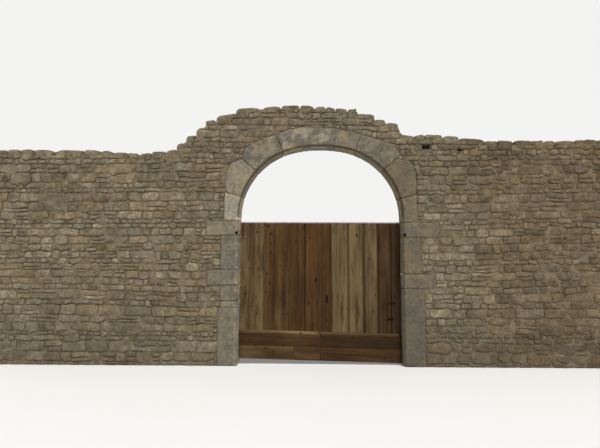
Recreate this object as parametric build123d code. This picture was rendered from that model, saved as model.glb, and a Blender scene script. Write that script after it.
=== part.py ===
from build123d import *
import os
from math import acos, cos, degrees, radians, sin, sqrt

# Arched stone gateway with a pair of plank leaves, in millimetres.
# X runs along the wall, Y through it with the front face at -Y, and Z up.
# The origin is on the ground, in the middle of the opening and of the wall's thickness.

# Opening between the reveals: straight jambs below a three-centred arch, tight at the
# haunches and flatter over the crown. The chamfer widens it at the front face.
OPENING_HALF = 1395
SPRING_Z = 2500
HAUNCH_RADIUS = 1218
CROWN_RADIUS = 2052
CHAMFER = 35

# Thickness of the dressed stones from face to face, and how far the rubble's faces stand back
STONE_THICK = 350
RUBBLE_SETBACK = 8

# Jamb stones from the ground up: height of each, in parts of the jamb's height, and its length
# from the reveal. The springer on top starts a little below the springing.
JAMB_LEFT_HEIGHTS = (965, 110, 263, 261, 590, 250)
JAMB_LEFT_LENGTHS = (334, 301, 299, 529, 307, 556)
JAMB_RIGHT_HEIGHTS = (1297, 239, 623, 253)
JAMB_RIGHT_LENGTHS = (360, 543, 309, 623)
SPRINGER_LEG_LEFT = 61
SPRINGER_LEG_RIGHT = 88
SPRINGER_LENGTH = 258

# Joints of the arch from right to left, as the angle of the curve's normal above the level,
# and the rough back of each voussoir: its depth at evenly spaced corners from joint to joint
JOINT_ANGLES = (15, 42, 70, 83.4, 112.5, 139.5, 163.5)
VOUSSOIR_DEPTHS = (
    (295, 365, 445, 457, 320),
    (400, 455, 385, 345, 328),
    (328, 330),
    (330, 335, 366, 358, 348),
    (348, 375, 400, 437, 345),
    (340, 452, 420, 385, 290),
)

# The wall's broken top, from the middle outwards: distance outwards from the reveal
# and height above the arch's apex
WALL_TOP_LEFT = (
    (-1040, 750), (-370, 724), (100, 661), (446, 518), (620, 429), (790, 251),
    (963, 162), (1122, -24), (1305, -69), (1775, -122), (2440, -52),
)
WALL_TOP_RIGHT = (
    (-1140, 705), (-916, 660), (-760, 704), (-708, 606), (-448, 570), (-414, 499), (-258, 481),
    (-17, 357), (66, 197), (239, 197), (412, 230), (1014, 180), (1441, 109),
)
WALL_END = 5700
END_TOP_LEFT = 3690
END_TOP_RIGHT = 3870
# The piece over the arch: how far past the reveals it reaches, and how far above the springing
OVER_ARCH_MARGIN = 340
OVER_ARCH_LIFT = 300

# Putlog holes in the right wing: distance from the reveal, height, width and height of the hole
PUTLOGS = ((434, 3731, 140, 80), (1014, 3673, 90, 40))
PUTLOG_DEPTH = 180
# Square socket cut at the chamfer of the highest jamb stone on each side
SOCKET_WIDTH = 50
SOCKET_HEIGHT = 50
SOCKET_DEPTH = 60
SOCKET_INTO_CHAMFER = 20
SOCKET_FROM_BED = 15

# Gate leaves: depth of the boards behind the wall's front face, and the edges' clearances.
# The leaves' foot follows the ground, which falls to the right.
LEAF_SETBACK = 200
LEAF_FOOT = 65
FOOT_FALL = 0.024
LEAF_BELOW_SPRING = 85
HEEL_GAP = 8
MEETING_GAP = 8

# Shiplapped boards: widths from the hinge side to the meeting edge, in parts of the leaf's
# width, and the open gap along each one's inner side, which its rear lip closes
BOARD_THICK = 27
LIP_THICK = 12
LIP_CLEARANCE = 0.5
BOARD_WIDTHS_LEFT = (183, 253, 164, 257, 278, 246)
BOARD_GAPS_LEFT = (43, 40, 4, 4, 28)
BOARD_WIDTHS_RIGHT = (83, 87, 237, 251, 258, 276, 189)
BOARD_GAPS_RIGHT = (4, 6, 41, 50, 29, 5)

# Kick boards across the foot, in front of the upright boards
KICK_THICK = 26
KICK_LOWER_HEIGHT = 224
KICK_UPPER_HEIGHT = 254
KICK_SEAM = 4
KICK_END_GAP = 2
KICK_BUTT_FROM_MIDDLE = 450
KICK_BEVEL_HEIGHT = 62
KICK_BEVEL_DEPTH = 20

CAP_HEIGHT = 20
CAP_OVERHANG = 4

# Ledges on the back, and the braces between them
LEDGE_THICK = 32
LEDGE_WIDTH = 140
LEDGE_FROM_END = 175
LEDGE_HEEL_GAP = 14
LEDGE_MEETING_GAP = 150
BRACE_WIDTH = 130
BRACE_INSET = 60

# Strap hinges on the lowest and highest ledges, with eyes that turn on the pintles' pins
STRAP_LENGTH = 900
STRAP_WIDTH = 46
STRAP_TIP = 28
STRAP_THICK = 7
EYE_WALL = 7
EYE_TO_LEDGE = 0.3
PIN_RADIUS = 10
PIN_CLEARANCE = 0.05
PIN_STAND = 14
PIN_BEVEL = 3
PIVOT_FROM_REVEAL = 32
COLLAR_RADIUS = 14
COLLAR_HEIGHT = 14
COLLAR_TO_EYE = 0.3
TAIL_WIDTH = 20
TAIL_HEIGHT = 22
TAIL_IN_STONE = 90

# Rim lock on the right leaf's back, its keeper on the left leaf, and the plate on the front
LOCK_Z = 1103
LOCK_LENGTH = 120
LOCK_HEIGHT = 110
LOCK_THICK = 34
LOCK_FROM_EDGE = 4
KEEPER_LENGTH = 40
PLATE_FROM_EDGE = 96
PLATE_WIDTH = 32
PLATE_HEIGHT = 136
PLATE_THICK = 4

LEFT = -1
RIGHT = 1
HALF_TURN = 180

# Places that follow from the sizes above
FRONT = -STONE_THICK / 2
BACK = STONE_THICK / 2
HAUNCH_X = OPENING_HALF - HAUNCH_RADIUS
CROWN_Z = SPRING_Z - sqrt((CROWN_RADIUS - HAUNCH_RADIUS) ** 2 - HAUNCH_X**2)
APEX_Z = CROWN_Z + CROWN_RADIUS
CROWN_FROM = degrees(acos(HAUNCH_X / (CROWN_RADIUS - HAUNCH_RADIUS)))
CROWN_TO = HALF_TURN - CROWN_FROM
RUBBLE_FRONT = FRONT + RUBBLE_SETBACK
RUBBLE_BACK = BACK - RUBBLE_SETBACK
OVER_ARCH_HALF = OPENING_HALF + OVER_ARCH_MARGIN
BOARD_FRONT = FRONT + LEAF_SETBACK
BOARD_BACK = BOARD_FRONT + BOARD_THICK
LIP_FRONT = BOARD_BACK - LIP_THICK
LEDGE_BACK = BOARD_BACK + LEDGE_THICK
KICK_FRONT = BOARD_FRONT - KICK_THICK
LEAF_TOP = SPRING_Z - LEAF_BELOW_SPRING
LEAF_HEEL = OPENING_HALF - HEEL_GAP
LEAF_MEET = MEETING_GAP / 2
LOW_LEDGE_Z = LEAF_FOOT + LEDGE_FROM_END
HIGH_LEDGE_Z = LEAF_TOP - LEDGE_FROM_END
MIDDLE_LEDGE_Z = (LOW_LEDGE_Z + HIGH_LEDGE_Z) / 2
STRAP_MIDDLES = (LOW_LEDGE_Z, HIGH_LEDGE_Z)
LEDGE_MIDDLES = (LOW_LEDGE_Z, MIDDLE_LEDGE_Z, HIGH_LEDGE_Z)
EYE_RADIUS = PIN_RADIUS + PIN_CLEARANCE + EYE_WALL
PIVOT_X = OPENING_HALF - PIVOT_FROM_REVEAL
PIVOT_Y = LEDGE_BACK + EYE_TO_LEDGE + EYE_RADIUS


def block(x_ends, y_ends, z_ends):
    """A square-edged block between two ends on each axis, given in either order."""
    spans = [sorted(ends) for ends in (x_ends, y_ends, z_ends)]
    middle = [(low + high) / 2 for low, high in spans]
    size = [high - low for low, high in spans]
    return Pos(*middle) * Box(*size)


def polygon(corners):
    """A flat shape with straight sides through its corners."""
    return make_face(Polyline(*corners, close=True))


def upright(sketch, y_ends):
    """Stands a flat shape up, its own Y as height, and thickens it between two depths."""
    near, far = sorted(y_ends)
    return extrude(Plane.XZ.offset(-far) * sketch, amount=far - near)


def round_bar(middle_x, middle_y, radius, z_ends):
    """An upright round bar between two heights."""
    low, high = z_ends
    return Pos(middle_x, middle_y, (low + high) / 2) * Cylinder(radius, high - low)


def arch_point(angle, outside=0):
    """Point outside the opening's curve by a distance, where the curve's normal has this angle."""
    if angle < CROWN_FROM:
        middle_x, middle_z, radius = HAUNCH_X, SPRING_Z, HAUNCH_RADIUS
    elif angle > CROWN_TO:
        middle_x, middle_z, radius = -HAUNCH_X, SPRING_Z, HAUNCH_RADIUS
    else:
        middle_x, middle_z, radius = 0, CROWN_Z, CROWN_RADIUS
    reach = radius + outside
    return middle_x + reach * cos(radians(angle)), middle_z + reach * sin(radians(angle))


def arch_curve(first, last):
    """The opening's curve between two normal angles, one arc for each radius that it crosses."""
    bends = [angle for angle in (CROWN_FROM, CROWN_TO) if first < angle < last]
    stops = [first, *bends, last]
    arcs = Curve()
    for start, end in zip(stops, stops[1:]):
        arcs += ThreePointArc(arch_point(start), arch_point((start + end) / 2), arch_point(end))
    return arcs


def opening_outline():
    """The opening's outline from the ground up one reveal, round the arch and down the other."""
    left = Line(arch_point(HALF_TURN), (-OPENING_HALF, 0))
    right = Line((OPENING_HALF, 0), arch_point(0))
    return arch_curve(0, HALF_TURN) + left + right


def voussoir_shape(first, last, depths):
    """An arch stone between two joints, with a hewn back of straight facets."""
    step = (last - first) / (len(depths) - 1)
    corners = [arch_point(first + i * step, depth) for i, depth in enumerate(depths)]
    sides = Polyline(arch_point(first), *corners, arch_point(last))
    return make_face(arch_curve(first, last) + sides)


def springer_shape(side, leg):
    """The stone that turns from the upright jamb to the arch's first joint."""
    first, last = (JOINT_ANGLES[-1], HALF_TURN) if side == LEFT else (0, JOINT_ANGLES[0])
    joint, spring = (first, last) if side == LEFT else (last, first)
    inner, outer = arch_point(joint), arch_point(joint, SPRINGER_LENGTH)
    slope = (outer[1] - inner[1]) / (outer[0] - inner[0])
    far = side * (OPENING_HALF + SPRINGER_LENGTH)
    shoulder = inner[1] + slope * (far - inner[0])
    bed = SPRING_Z - leg
    corners = [(far, shoulder), (far, bed), (side * OPENING_HALF, bed)]
    return make_face(arch_curve(first, last) + Polyline(inner, *corners, arch_point(spring)))


def jamb_beds(heights, leg):
    """Heights of the beds below and above each jamb stone, from the ground up."""
    scale = (SPRING_Z - leg) / sum(heights)
    return [sum(heights[:i]) * scale for i in range(len(heights) + 1)]


def jamb_shapes(side, heights, lengths, leg):
    """The jamb stones of one side, from the ground up."""
    beds = jamb_beds(heights, leg)
    shapes = []
    for low, high, length in zip(beds, beds[1:], lengths):
        middle = side * (OPENING_HALF + length / 2)
        shapes.append(Pos(middle, (low + high) / 2) * Rectangle(length, high - low))
    return shapes


def stone_shapes():
    """The outline of every dressed stone in the wall's plane, by name."""
    spans = zip(JOINT_ANGLES, JOINT_ANGLES[1:], VOUSSOIR_DEPTHS)
    shapes = {f"voussoir_{i}": voussoir_shape(*span) for i, span in enumerate(spans, 1)}
    left = jamb_shapes(LEFT, JAMB_LEFT_HEIGHTS, JAMB_LEFT_LENGTHS, SPRINGER_LEG_LEFT)
    right = jamb_shapes(RIGHT, JAMB_RIGHT_HEIGHTS, JAMB_RIGHT_LENGTHS, SPRINGER_LEG_RIGHT)
    shapes.update({f"jamb_left_{i}": shape for i, shape in enumerate(left, 1)})
    shapes.update({f"jamb_right_{i}": shape for i, shape in enumerate(right, 1)})
    shapes["springer_left"] = springer_shape(LEFT, SPRINGER_LEG_LEFT)
    shapes["springer_right"] = springer_shape(RIGHT, SPRINGER_LEG_RIGHT)
    return shapes


def dressed(shape, arris):
    """A stone of the wall's full thickness, chamfered where its front meets the opening."""
    stone = upright(shape, (FRONT, BACK))
    front = stone.faces().sort_by(Axis.Y)[0]
    edges = [edge for edge in front.edges() if arris.distance_to(edge @ 0.5) < 0.1]
    return chamfer(edges, CHAMFER)


def socket(side, bed):
    """Square hole at the chamfer, a little above a stone's lower bed."""
    near = OPENING_HALF + CHAMFER - SOCKET_INTO_CHAMFER
    x_ends = (side * near, side * (near + SOCKET_WIDTH))
    low = bed + SOCKET_FROM_BED
    return block(x_ends, (FRONT, FRONT + SOCKET_DEPTH), (low, low + SOCKET_HEIGHT))


def pintle(side, middle):
    """An upright pin on a collar and a square arm, whose tail is let into the jamb."""
    x = side * PIVOT_X
    collar_top = middle - STRAP_WIDTH / 2 - COLLAR_TO_EYE
    collar_low = collar_top - COLLAR_HEIGHT
    pin = round_bar(x, PIVOT_Y, PIN_RADIUS, (collar_low, middle + STRAP_WIDTH / 2 + PIN_STAND))
    pin = chamfer(pin.edges().sort_by(Axis.Z)[-1], PIN_BEVEL)
    collar = round_bar(x, PIVOT_Y, COLLAR_RADIUS, (collar_low, collar_top))
    tail_x = (x, side * (OPENING_HALF + TAIL_IN_STONE))
    tail_y = (PIVOT_Y - TAIL_WIDTH / 2, PIVOT_Y + TAIL_WIDTH / 2)
    return pin + collar + block(tail_x, tail_y, (collar_top - TAIL_HEIGHT, collar_top))


def wall_face():
    """The whole wall from end to end in its own plane, solid over the opening."""
    left = [(-OPENING_HALF - out, APEX_Z + above) for out, above in reversed(WALL_TOP_LEFT)]
    right = [(OPENING_HALF + out, APEX_Z + above) for out, above in WALL_TOP_RIGHT]
    left_end = [(-WALL_END, 0), (-WALL_END, END_TOP_LEFT)]
    right_end = [(WALL_END, END_TOP_RIGHT), (WALL_END, 0)]
    return polygon([*left_end, *left, *right, *right_end])


def rubble_shapes(stones):
    """The rubble round the dressed stones: left wing, right wing and the piece over the arch."""
    threshold = Line((-OPENING_HALF, 0), (OPENING_HALF, 0))
    rubble = wall_face() - make_face(opening_outline() + threshold)
    for stone in stones:
        rubble -= stone
    tall = 2 * APEX_Z
    half = Pos(-WALL_END / 2, tall / 2) * Rectangle(WALL_END, tall)
    foot = SPRING_Z + OVER_ARCH_LIFT
    over = rubble & (Pos(0, foot + tall / 2) * Rectangle(2 * OVER_ARCH_HALF, tall))
    wings = rubble - over
    return wings & half, wings - half, over


def putlog(out, middle, width, height):
    """A square hole left in the rubble by a scaffold's bearer."""
    x_ends = (OPENING_HALF + out - width / 2, OPENING_HALF + out + width / 2)
    z_ends = (middle - height / 2, middle + height / 2)
    return block(x_ends, (RUBBLE_FRONT, RUBBLE_FRONT + PUTLOG_DEPTH), z_ends)


def masonry():
    """The dressed stones and the rubble."""
    shapes = stone_shapes()
    arris = Plane.XZ.offset(-FRONT) * opening_outline()
    pieces = {name: dressed(shape, arris) for name, shape in shapes.items()}
    left_beds = jamb_beds(JAMB_LEFT_HEIGHTS, SPRINGER_LEG_LEFT)
    right_beds = jamb_beds(JAMB_RIGHT_HEIGHTS, SPRINGER_LEG_RIGHT)
    pieces[f"jamb_left_{len(JAMB_LEFT_HEIGHTS)}"] -= socket(LEFT, left_beds[-2])
    pieces[f"jamb_right_{len(JAMB_RIGHT_HEIGHTS)}"] -= socket(RIGHT, right_beds[-2])
    rubble = rubble_shapes(shapes.values())
    for name, shape in zip(("wing_left", "wing_right", "wall_over_arch"), rubble):
        pieces[name] = upright(shape, (RUBBLE_FRONT, RUBBLE_BACK))
    for hole in PUTLOGS:
        pieces["wing_right"] -= putlog(*hole)
    return pieces


def gateway_pieces():
    """Everything that stands still: the masonry, and the pintles let into the jambs."""
    pieces = masonry()
    for name, side in (("left", LEFT), ("right", RIGHT)):
        hooks = [pintle(side, middle) for middle in STRAP_MIDDLES]
        for stone in [key for key in pieces if key.startswith(f"jamb_{name}")]:
            for hook in hooks:
                pieces[stone] -= hook
        pieces[f"pintles_{name}"] = Compound(children=hooks)
    return pieces


def foot_z(x, above=0):
    """Height of the leaves' sloping foot, or of a line that runs above it."""
    return LEAF_FOOT + above - FOOT_FALL * x


def boards(side, widths, gaps):
    """Upright boards whose rear lips close the gaps between them."""
    scale = (LEAF_HEEL - LEAF_MEET) / sum(widths)
    corners = [(-LEAF_HEEL, foot_z(-LEAF_HEEL)), (LEAF_HEEL, foot_z(LEAF_HEEL))]
    below = upright(polygon([*corners, (LEAF_HEEL, 0), (-LEAF_HEEL, 0)]), (BOARD_FRONT, BOARD_BACK))
    solids = []
    start = LEAF_HEEL
    for width, gap in zip(widths, (*gaps, 0)):
        end = start - width * scale
        z_ends = (0, LEAF_TOP)
        face = block((side * start, side * (end + gap)), (BOARD_FRONT, BOARD_BACK), z_ends)
        lip_end = end + min(gap, LIP_CLEARANCE)
        lip = block((side * start, side * lip_end), (LIP_FRONT, BOARD_BACK), z_ends)
        solids.append(face + lip - below)
        start = end
    return Compound(children=solids)


def kick_board(x_ends, low, high):
    """A board across the foot, parallel to its slope, between two heights above it."""
    near, far = x_ends
    corners = [(near, foot_z(near, low)), (far, foot_z(far, low))]
    corners += [(far, foot_z(far, high)), (near, foot_z(near, high))]
    return upright(polygon(corners), (KICK_FRONT, BOARD_FRONT))


def kick_boards(side):
    """Two boards across the foot, the upper one bevelled and the left leaf's lower one pieced."""
    heel, meet = side * LEAF_HEEL, side * (LEAF_MEET + KICK_END_GAP)
    upper_low = KICK_LOWER_HEIGHT + KICK_SEAM
    upper = kick_board((heel, meet), upper_low, upper_low + KICK_UPPER_HEIGHT)
    front = upper.faces().sort_by(Axis.Y)[0]
    top_edge = front.edges().sort_by(Axis.Z)[-1]
    solids = [chamfer(top_edge, KICK_BEVEL_HEIGHT, KICK_BEVEL_DEPTH, reference=front)]
    if side == LEFT:
        butt = -KICK_BUTT_FROM_MIDDLE
        solids.append(kick_board((heel, butt - KICK_SEAM / 2), 0, KICK_LOWER_HEIGHT))
        solids.append(kick_board((butt + KICK_SEAM / 2, meet), 0, KICK_LOWER_HEIGHT))
    else:
        solids.append(kick_board((heel, meet), 0, KICK_LOWER_HEIGHT))
    return Compound(children=solids)


def cap(side):
    """Weather strip along the leaf's top."""
    depth = (BOARD_FRONT - CAP_OVERHANG, BOARD_BACK + CAP_OVERHANG)
    return block((side * LEAF_HEEL, side * LEAF_MEET), depth, (LEAF_TOP, LEAF_TOP + CAP_HEIGHT))


def ledges(side):
    """Level battens on the back that hold the boards together."""
    x_ends = (side * (OPENING_HALF - LEDGE_HEEL_GAP), side * (LEAF_MEET + LEDGE_MEETING_GAP))
    half = LEDGE_WIDTH / 2
    depth = (BOARD_BACK, LEDGE_BACK)
    solids = [block(x_ends, depth, (middle - half, middle + half)) for middle in LEDGE_MIDDLES]
    return Compound(children=solids)


def braces(side):
    """Slanting battens from the hinge side up towards the meeting edge, butted to the ledges."""
    low_x = OPENING_HALF - LEDGE_HEEL_GAP - BRACE_INSET
    high_x = LEAF_MEET + LEDGE_MEETING_GAP + BRACE_INSET
    solids = []
    for lower, upper in zip(LEDGE_MIDDLES, LEDGE_MIDDLES[1:]):
        foot, head = lower + LEDGE_WIDTH / 2, upper - LEDGE_WIDTH / 2
        run, rise = low_x - high_x, head - foot
        level = BRACE_WIDTH * sqrt(run**2 + rise**2) / rise
        corners = ((low_x, foot), (low_x - level, foot), (high_x, head), (high_x + level, head))
        shape = polygon([(side * x, z) for x, z in corners])
        solids.append(upright(shape, (BOARD_BACK, LEDGE_BACK)))
    return Compound(children=solids)


def strap(side, middle):
    """Tapered strap on a ledge's back, with a round tip and an eye for the pintle's pin."""
    x = side * PIVOT_X
    tip_x = x - side * STRAP_LENGTH
    half, tip = STRAP_WIDTH / 2, STRAP_TIP / 2
    corners = ((x, middle - half), (x, middle + half), (tip_x, middle + tip), (tip_x, middle - tip))
    shape = polygon(corners) + Pos(tip_x, middle) * Circle(tip)
    plate = upright(shape, (LEDGE_BACK, LEDGE_BACK + STRAP_THICK))
    ends = (middle - half, middle + half)
    eye = round_bar(x, PIVOT_Y, EYE_RADIUS, ends)
    return plate + eye - round_bar(x, PIVOT_Y, PIN_RADIUS + PIN_CLEARANCE, ends)


def leaf_pieces(name, side, widths, gaps):
    """One leaf of the gate, closed."""
    return {
        f"boards_{name}": boards(side, widths, gaps),
        f"kick_boards_{name}": kick_boards(side),
        f"cap_{name}": cap(side),
        f"ledges_{name}": ledges(side),
        f"braces_{name}": braces(side),
        f"straps_{name}": Compound(children=[strap(side, middle) for middle in STRAP_MIDDLES]),
    }


def lock_pieces():
    """Rim lock on the right leaf, its keeper on the left leaf and the plate on the front."""
    edge = LEAF_MEET + LOCK_FROM_EDGE
    z_ends = (LOCK_Z - LOCK_HEIGHT / 2, LOCK_Z + LOCK_HEIGHT / 2)
    depth = (BOARD_BACK, BOARD_BACK + LOCK_THICK)
    plate_x = (LEAF_MEET + PLATE_FROM_EDGE, LEAF_MEET + PLATE_FROM_EDGE + PLATE_WIDTH)
    plate_z = (LOCK_Z - PLATE_HEIGHT / 2, LOCK_Z + PLATE_HEIGHT / 2)
    return {
        "lock_case": block((edge, edge + LOCK_LENGTH), depth, z_ends),
        "lock_keeper": block((-edge, -edge - KEEPER_LENGTH), depth, z_ends),
        "lock_plate": block(plate_x, (BOARD_FRONT - PLATE_THICK, BOARD_FRONT), plate_z),
    }


def main():
    """Builds every piece and writes one file for each."""
    pieces = gateway_pieces()
    pieces.update(leaf_pieces("left", LEFT, BOARD_WIDTHS_LEFT, BOARD_GAPS_LEFT))
    pieces.update(leaf_pieces("right", RIGHT, BOARD_WIDTHS_RIGHT, BOARD_GAPS_RIGHT))
    pieces.update(lock_pieces())
    os.makedirs("parts", exist_ok=True)
    for name, shape in pieces.items():
        export_step(shape, f"parts/{name}.step")


main()
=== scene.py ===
"""Finish of the stone gateway: rubble walling, dressed arch stones, plank leaves and ironwork.

Metres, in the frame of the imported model: X along the wall, Y through it, Z up.
"""

import logging
import math
from collections.abc import Callable, Iterable
from dataclasses import dataclass, field
from enum import Enum
from itertools import product

import bmesh
import bpy
import numpy as np
from bmesh.types import BMEdge, BMesh, BMFace, BMVert
from bpy.types import Material, Mesh
from mathutils import Matrix, Vector
from mathutils.bvhtree import BVHTree


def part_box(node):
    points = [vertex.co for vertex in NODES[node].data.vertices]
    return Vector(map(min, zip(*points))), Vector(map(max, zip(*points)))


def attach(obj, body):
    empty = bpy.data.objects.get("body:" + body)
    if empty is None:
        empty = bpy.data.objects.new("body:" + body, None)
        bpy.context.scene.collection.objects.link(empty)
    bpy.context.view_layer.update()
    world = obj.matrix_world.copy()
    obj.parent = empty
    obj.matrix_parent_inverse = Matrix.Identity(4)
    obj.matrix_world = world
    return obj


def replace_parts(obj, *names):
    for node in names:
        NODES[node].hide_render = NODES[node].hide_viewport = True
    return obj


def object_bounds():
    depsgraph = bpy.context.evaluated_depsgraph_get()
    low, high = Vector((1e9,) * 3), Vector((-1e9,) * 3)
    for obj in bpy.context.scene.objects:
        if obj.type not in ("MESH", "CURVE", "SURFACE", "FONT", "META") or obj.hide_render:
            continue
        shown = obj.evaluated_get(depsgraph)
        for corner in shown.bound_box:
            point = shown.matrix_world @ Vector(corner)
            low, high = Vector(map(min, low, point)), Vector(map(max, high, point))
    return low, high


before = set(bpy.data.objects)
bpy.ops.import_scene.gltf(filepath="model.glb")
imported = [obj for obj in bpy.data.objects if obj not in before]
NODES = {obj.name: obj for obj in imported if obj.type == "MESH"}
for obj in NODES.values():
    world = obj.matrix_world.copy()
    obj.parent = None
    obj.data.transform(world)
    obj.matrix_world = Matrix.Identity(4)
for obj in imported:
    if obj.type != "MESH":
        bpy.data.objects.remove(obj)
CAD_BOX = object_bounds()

log = logging.getLogger("gateway")

Array = np.ndarray
Chance = np.random.Generator
Place = tuple[float, float, float]
Span = tuple[float, float]
Layers = tuple[tuple[float, float, int], ...]

RUBBLE_NODES = {"left": "wing_left", "over_arch": "wall_over_arch", "right": "wing_right"}
SPRINGING = 2.5
UP = np.array((0.0, 0.0, 1.0))
WELD = 1e-5
HAIR = 1e-4
TINY = 1e-9
FLAT_ANGLE = math.radians(1)
SOCKET_SLACK = 0.001


class Slot(Enum):
    """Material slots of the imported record."""

    DRESSED = "dressed_stone"
    RUBBLE = "rubble_stone"
    PLANKS = "planks"
    IRON = "iron"
    CAP = "cap_strip"


class Body(Enum):
    """Bodies that the pieces ride on."""

    GATEWAY = "gateway"
    LEFT = "leaf_left"
    RIGHT = "leaf_right"


class Side(Enum):
    """The two sides of the opening, by their sign along X."""

    LEFT = -1
    RIGHT = 1

    @property
    def word(self) -> str:
        """The side's name as the nodes spell it."""
        return self.name.lower()

    @property
    def body(self) -> Body:
        """The body of the leaf that hangs on this side."""
        return Body.LEFT if self is Side.LEFT else Body.RIGHT


def tint(red: float, green: float, blue: float) -> tuple[float, float, float, float]:
    """Turns a display colour of 0 to 255 into the linear colour that shaders take."""
    parts = [value / 255 for value in (red, green, blue)]
    linear = [p / 12.92 if p <= 0.04045 else ((p + 0.055) / 1.055) ** 2.4 for p in parts]
    return (*linear, 1.0)


def maths(operation: str, reflected: bool = False) -> Callable[..., "Wire"]:
    """Makes a method of Wire that adds one Math node.

    Args:
        operation: what the node does.
        reflected: whether the wire is the right-hand term.

    Returns:
        The method, which takes the other term if there is one.
    """

    def method(wire: "Wire", *others: object) -> "Wire":
        """Adds the Math node and returns its result."""
        terms = (*others, wire) if reflected else (wire, *others)
        return wire.graph.node("ShaderNodeMath", {"operation": operation}, dict(enumerate(terms)))

    return method


class Wire:
    """A shader value or colour that can stand in a Python expression."""

    def __init__(self, graph: "Graph", socket: bpy.types.NodeSocket) -> None:
        """Keeps the socket and the graph that it belongs to."""
        self.graph, self.socket = graph, socket

    __add__, __radd__ = maths("ADD"), maths("ADD", reflected=True)
    __sub__, __rsub__ = maths("SUBTRACT"), maths("SUBTRACT", reflected=True)
    __mul__, __rmul__ = maths("MULTIPLY"), maths("MULTIPLY", reflected=True)
    __truediv__, root, fraction = maths("DIVIDE"), maths("SQRT"), maths("FRACT")

    def between(self, low: float, high: float) -> "Wire":
        """Eases from 0 at the low value to 1 at the high one, either way round."""
        values = {"Value": self, "From Min": low, "From Max": high}
        return self.graph.node("ShaderNodeMapRange", {"interpolation_type": "SMOOTHSTEP"}, values)


class Graph:
    """The node tree of a material or of the world."""

    def __init__(self, owner: Material | bpy.types.World, shader: str = "Principled BSDF") -> None:
        """Gives the owner its nodes and finds the shader that it starts with."""
        owner.use_nodes = True
        self.owner, self.tree = owner, owner.node_tree
        self.shader = self.tree.nodes[shader]

    def node(
        self, kind: str, settings: dict | None = None, values: dict | None = None, output: int | str = 0
    ) -> Wire:
        """Adds a node.

        Args:
            kind: the node's type.
            settings: the node's own properties, set first, and "stops" for a colour ramp.
            values: numbers, colours or wires, by socket name or position.
            output: which output socket to return.

        Returns:
            The chosen output as a wire.
        """
        made = self.tree.nodes.new(kind)
        for key, value in (settings or {}).items():
            if key == "stops":
                self._set_stops(made.color_ramp, value)
            else:
                setattr(made, key, value)
        for key, value in (values or {}).items():
            self.plug(made.inputs[key], value)
        return Wire(self, made.outputs[output])

    def plug(self, socket: bpy.types.NodeSocket, value: object) -> None:
        """Links a wire to a socket, or sets the socket's own value."""
        if isinstance(value, Wire):
            self.tree.links.new(value.socket, socket)
        else:
            socket.default_value = value

    @staticmethod
    def _set_stops(ramp: bpy.types.ColorRamp, stops: tuple) -> None:
        """Gives a ramp its places and colours."""
        while len(ramp.elements) < len(stops):
            ramp.elements.new(0.5)
        for element, (place, colour) in zip(ramp.elements, stops):
            element.position, element.color = place, colour

    def attribute(self, name: str) -> tuple[Wire, ...]:
        """The three parts of a vector that the mesh carries."""
        return self.split(self.node("ShaderNodeAttribute", {"attribute_name": name}, output=1))

    def split(self, vector: Wire) -> tuple[Wire, ...]:
        """The three parts of a vector."""
        parts = self.node("ShaderNodeSeparateXYZ", None, {0: vector}).socket.node.outputs
        return tuple(Wire(self, part) for part in parts)

    def join(self, x: object, y: object, z: object) -> Wire:
        """A vector from three parts."""
        return self.node("ShaderNodeCombineXYZ", None, {0: x, 1: y, 2: z})

    def scaled(self, vector: Wire, factors: Place) -> Wire:
        """A vector stretched by a factor along each axis."""
        return self.node("ShaderNodeVectorMath", {"operation": "MULTIPLY"}, {0: vector, 1: factors})

    def noise(self, vector: Wire, scale: float, detail: float = 3, rough: float = 0.55) -> Wire:
        """Cloudy noise about one half."""
        values = {"Vector": vector, "Scale": scale, "Detail": detail, "Roughness": rough}
        return self.node("ShaderNodeTexNoise", None, values)

    def mix(self, factor: object, first: object, second: object, blend: str = "MIX") -> Wire:
        """Mixes two colours."""
        settings = {"data_type": "RGBA", "blend_type": blend}
        return self.node("ShaderNodeMix", settings, {0: factor, 6: first, 7: second}, 2)

    def shade(self, colour: Wire, factor: Wire) -> Wire:
        """Multiplies a colour by a value."""
        return self.node("ShaderNodeVectorMath", {"operation": "SCALE"}, {0: colour, "Scale": factor})

    def put(self, **values: object) -> None:
        """Gives the shader's sockets wires or values; an underscore stands for a space."""
        for name, value in values.items():
            self.plug(self.shader.inputs[name.replace("_", " ")], value)

    def bump(self, height: Wire, depth: float) -> None:
        """Gives the shader a relief of so many metres."""
        values = {"Strength": 1.0, "Distance": depth, "Height": height}
        self.put(Normal=self.node("ShaderNodeBump", None, values))


@dataclass(frozen=True)
class Finish:
    """A procedural material. Each kind of it paints itself."""

    name: str = "finish"
    roughness: float = 0.9
    specular: float = 0.5
    metallic: float = 0.0
    relief: float = 0.001

    def material(self) -> Material:
        """Builds the material."""
        g = Graph(bpy.data.materials.new(self.name))
        g.put(Roughness=self.roughness, Specular_IOR_Level=self.specular, Metallic=self.metallic)
        self.paint(g, g.node("ShaderNodeTexCoord", output="Object"))
        return g.owner

    def paint(self, g: Graph, place: Wire) -> None:
        """Gives the material its colours and relief, from the place in the piece's own frame."""
        raise NotImplementedError


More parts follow.
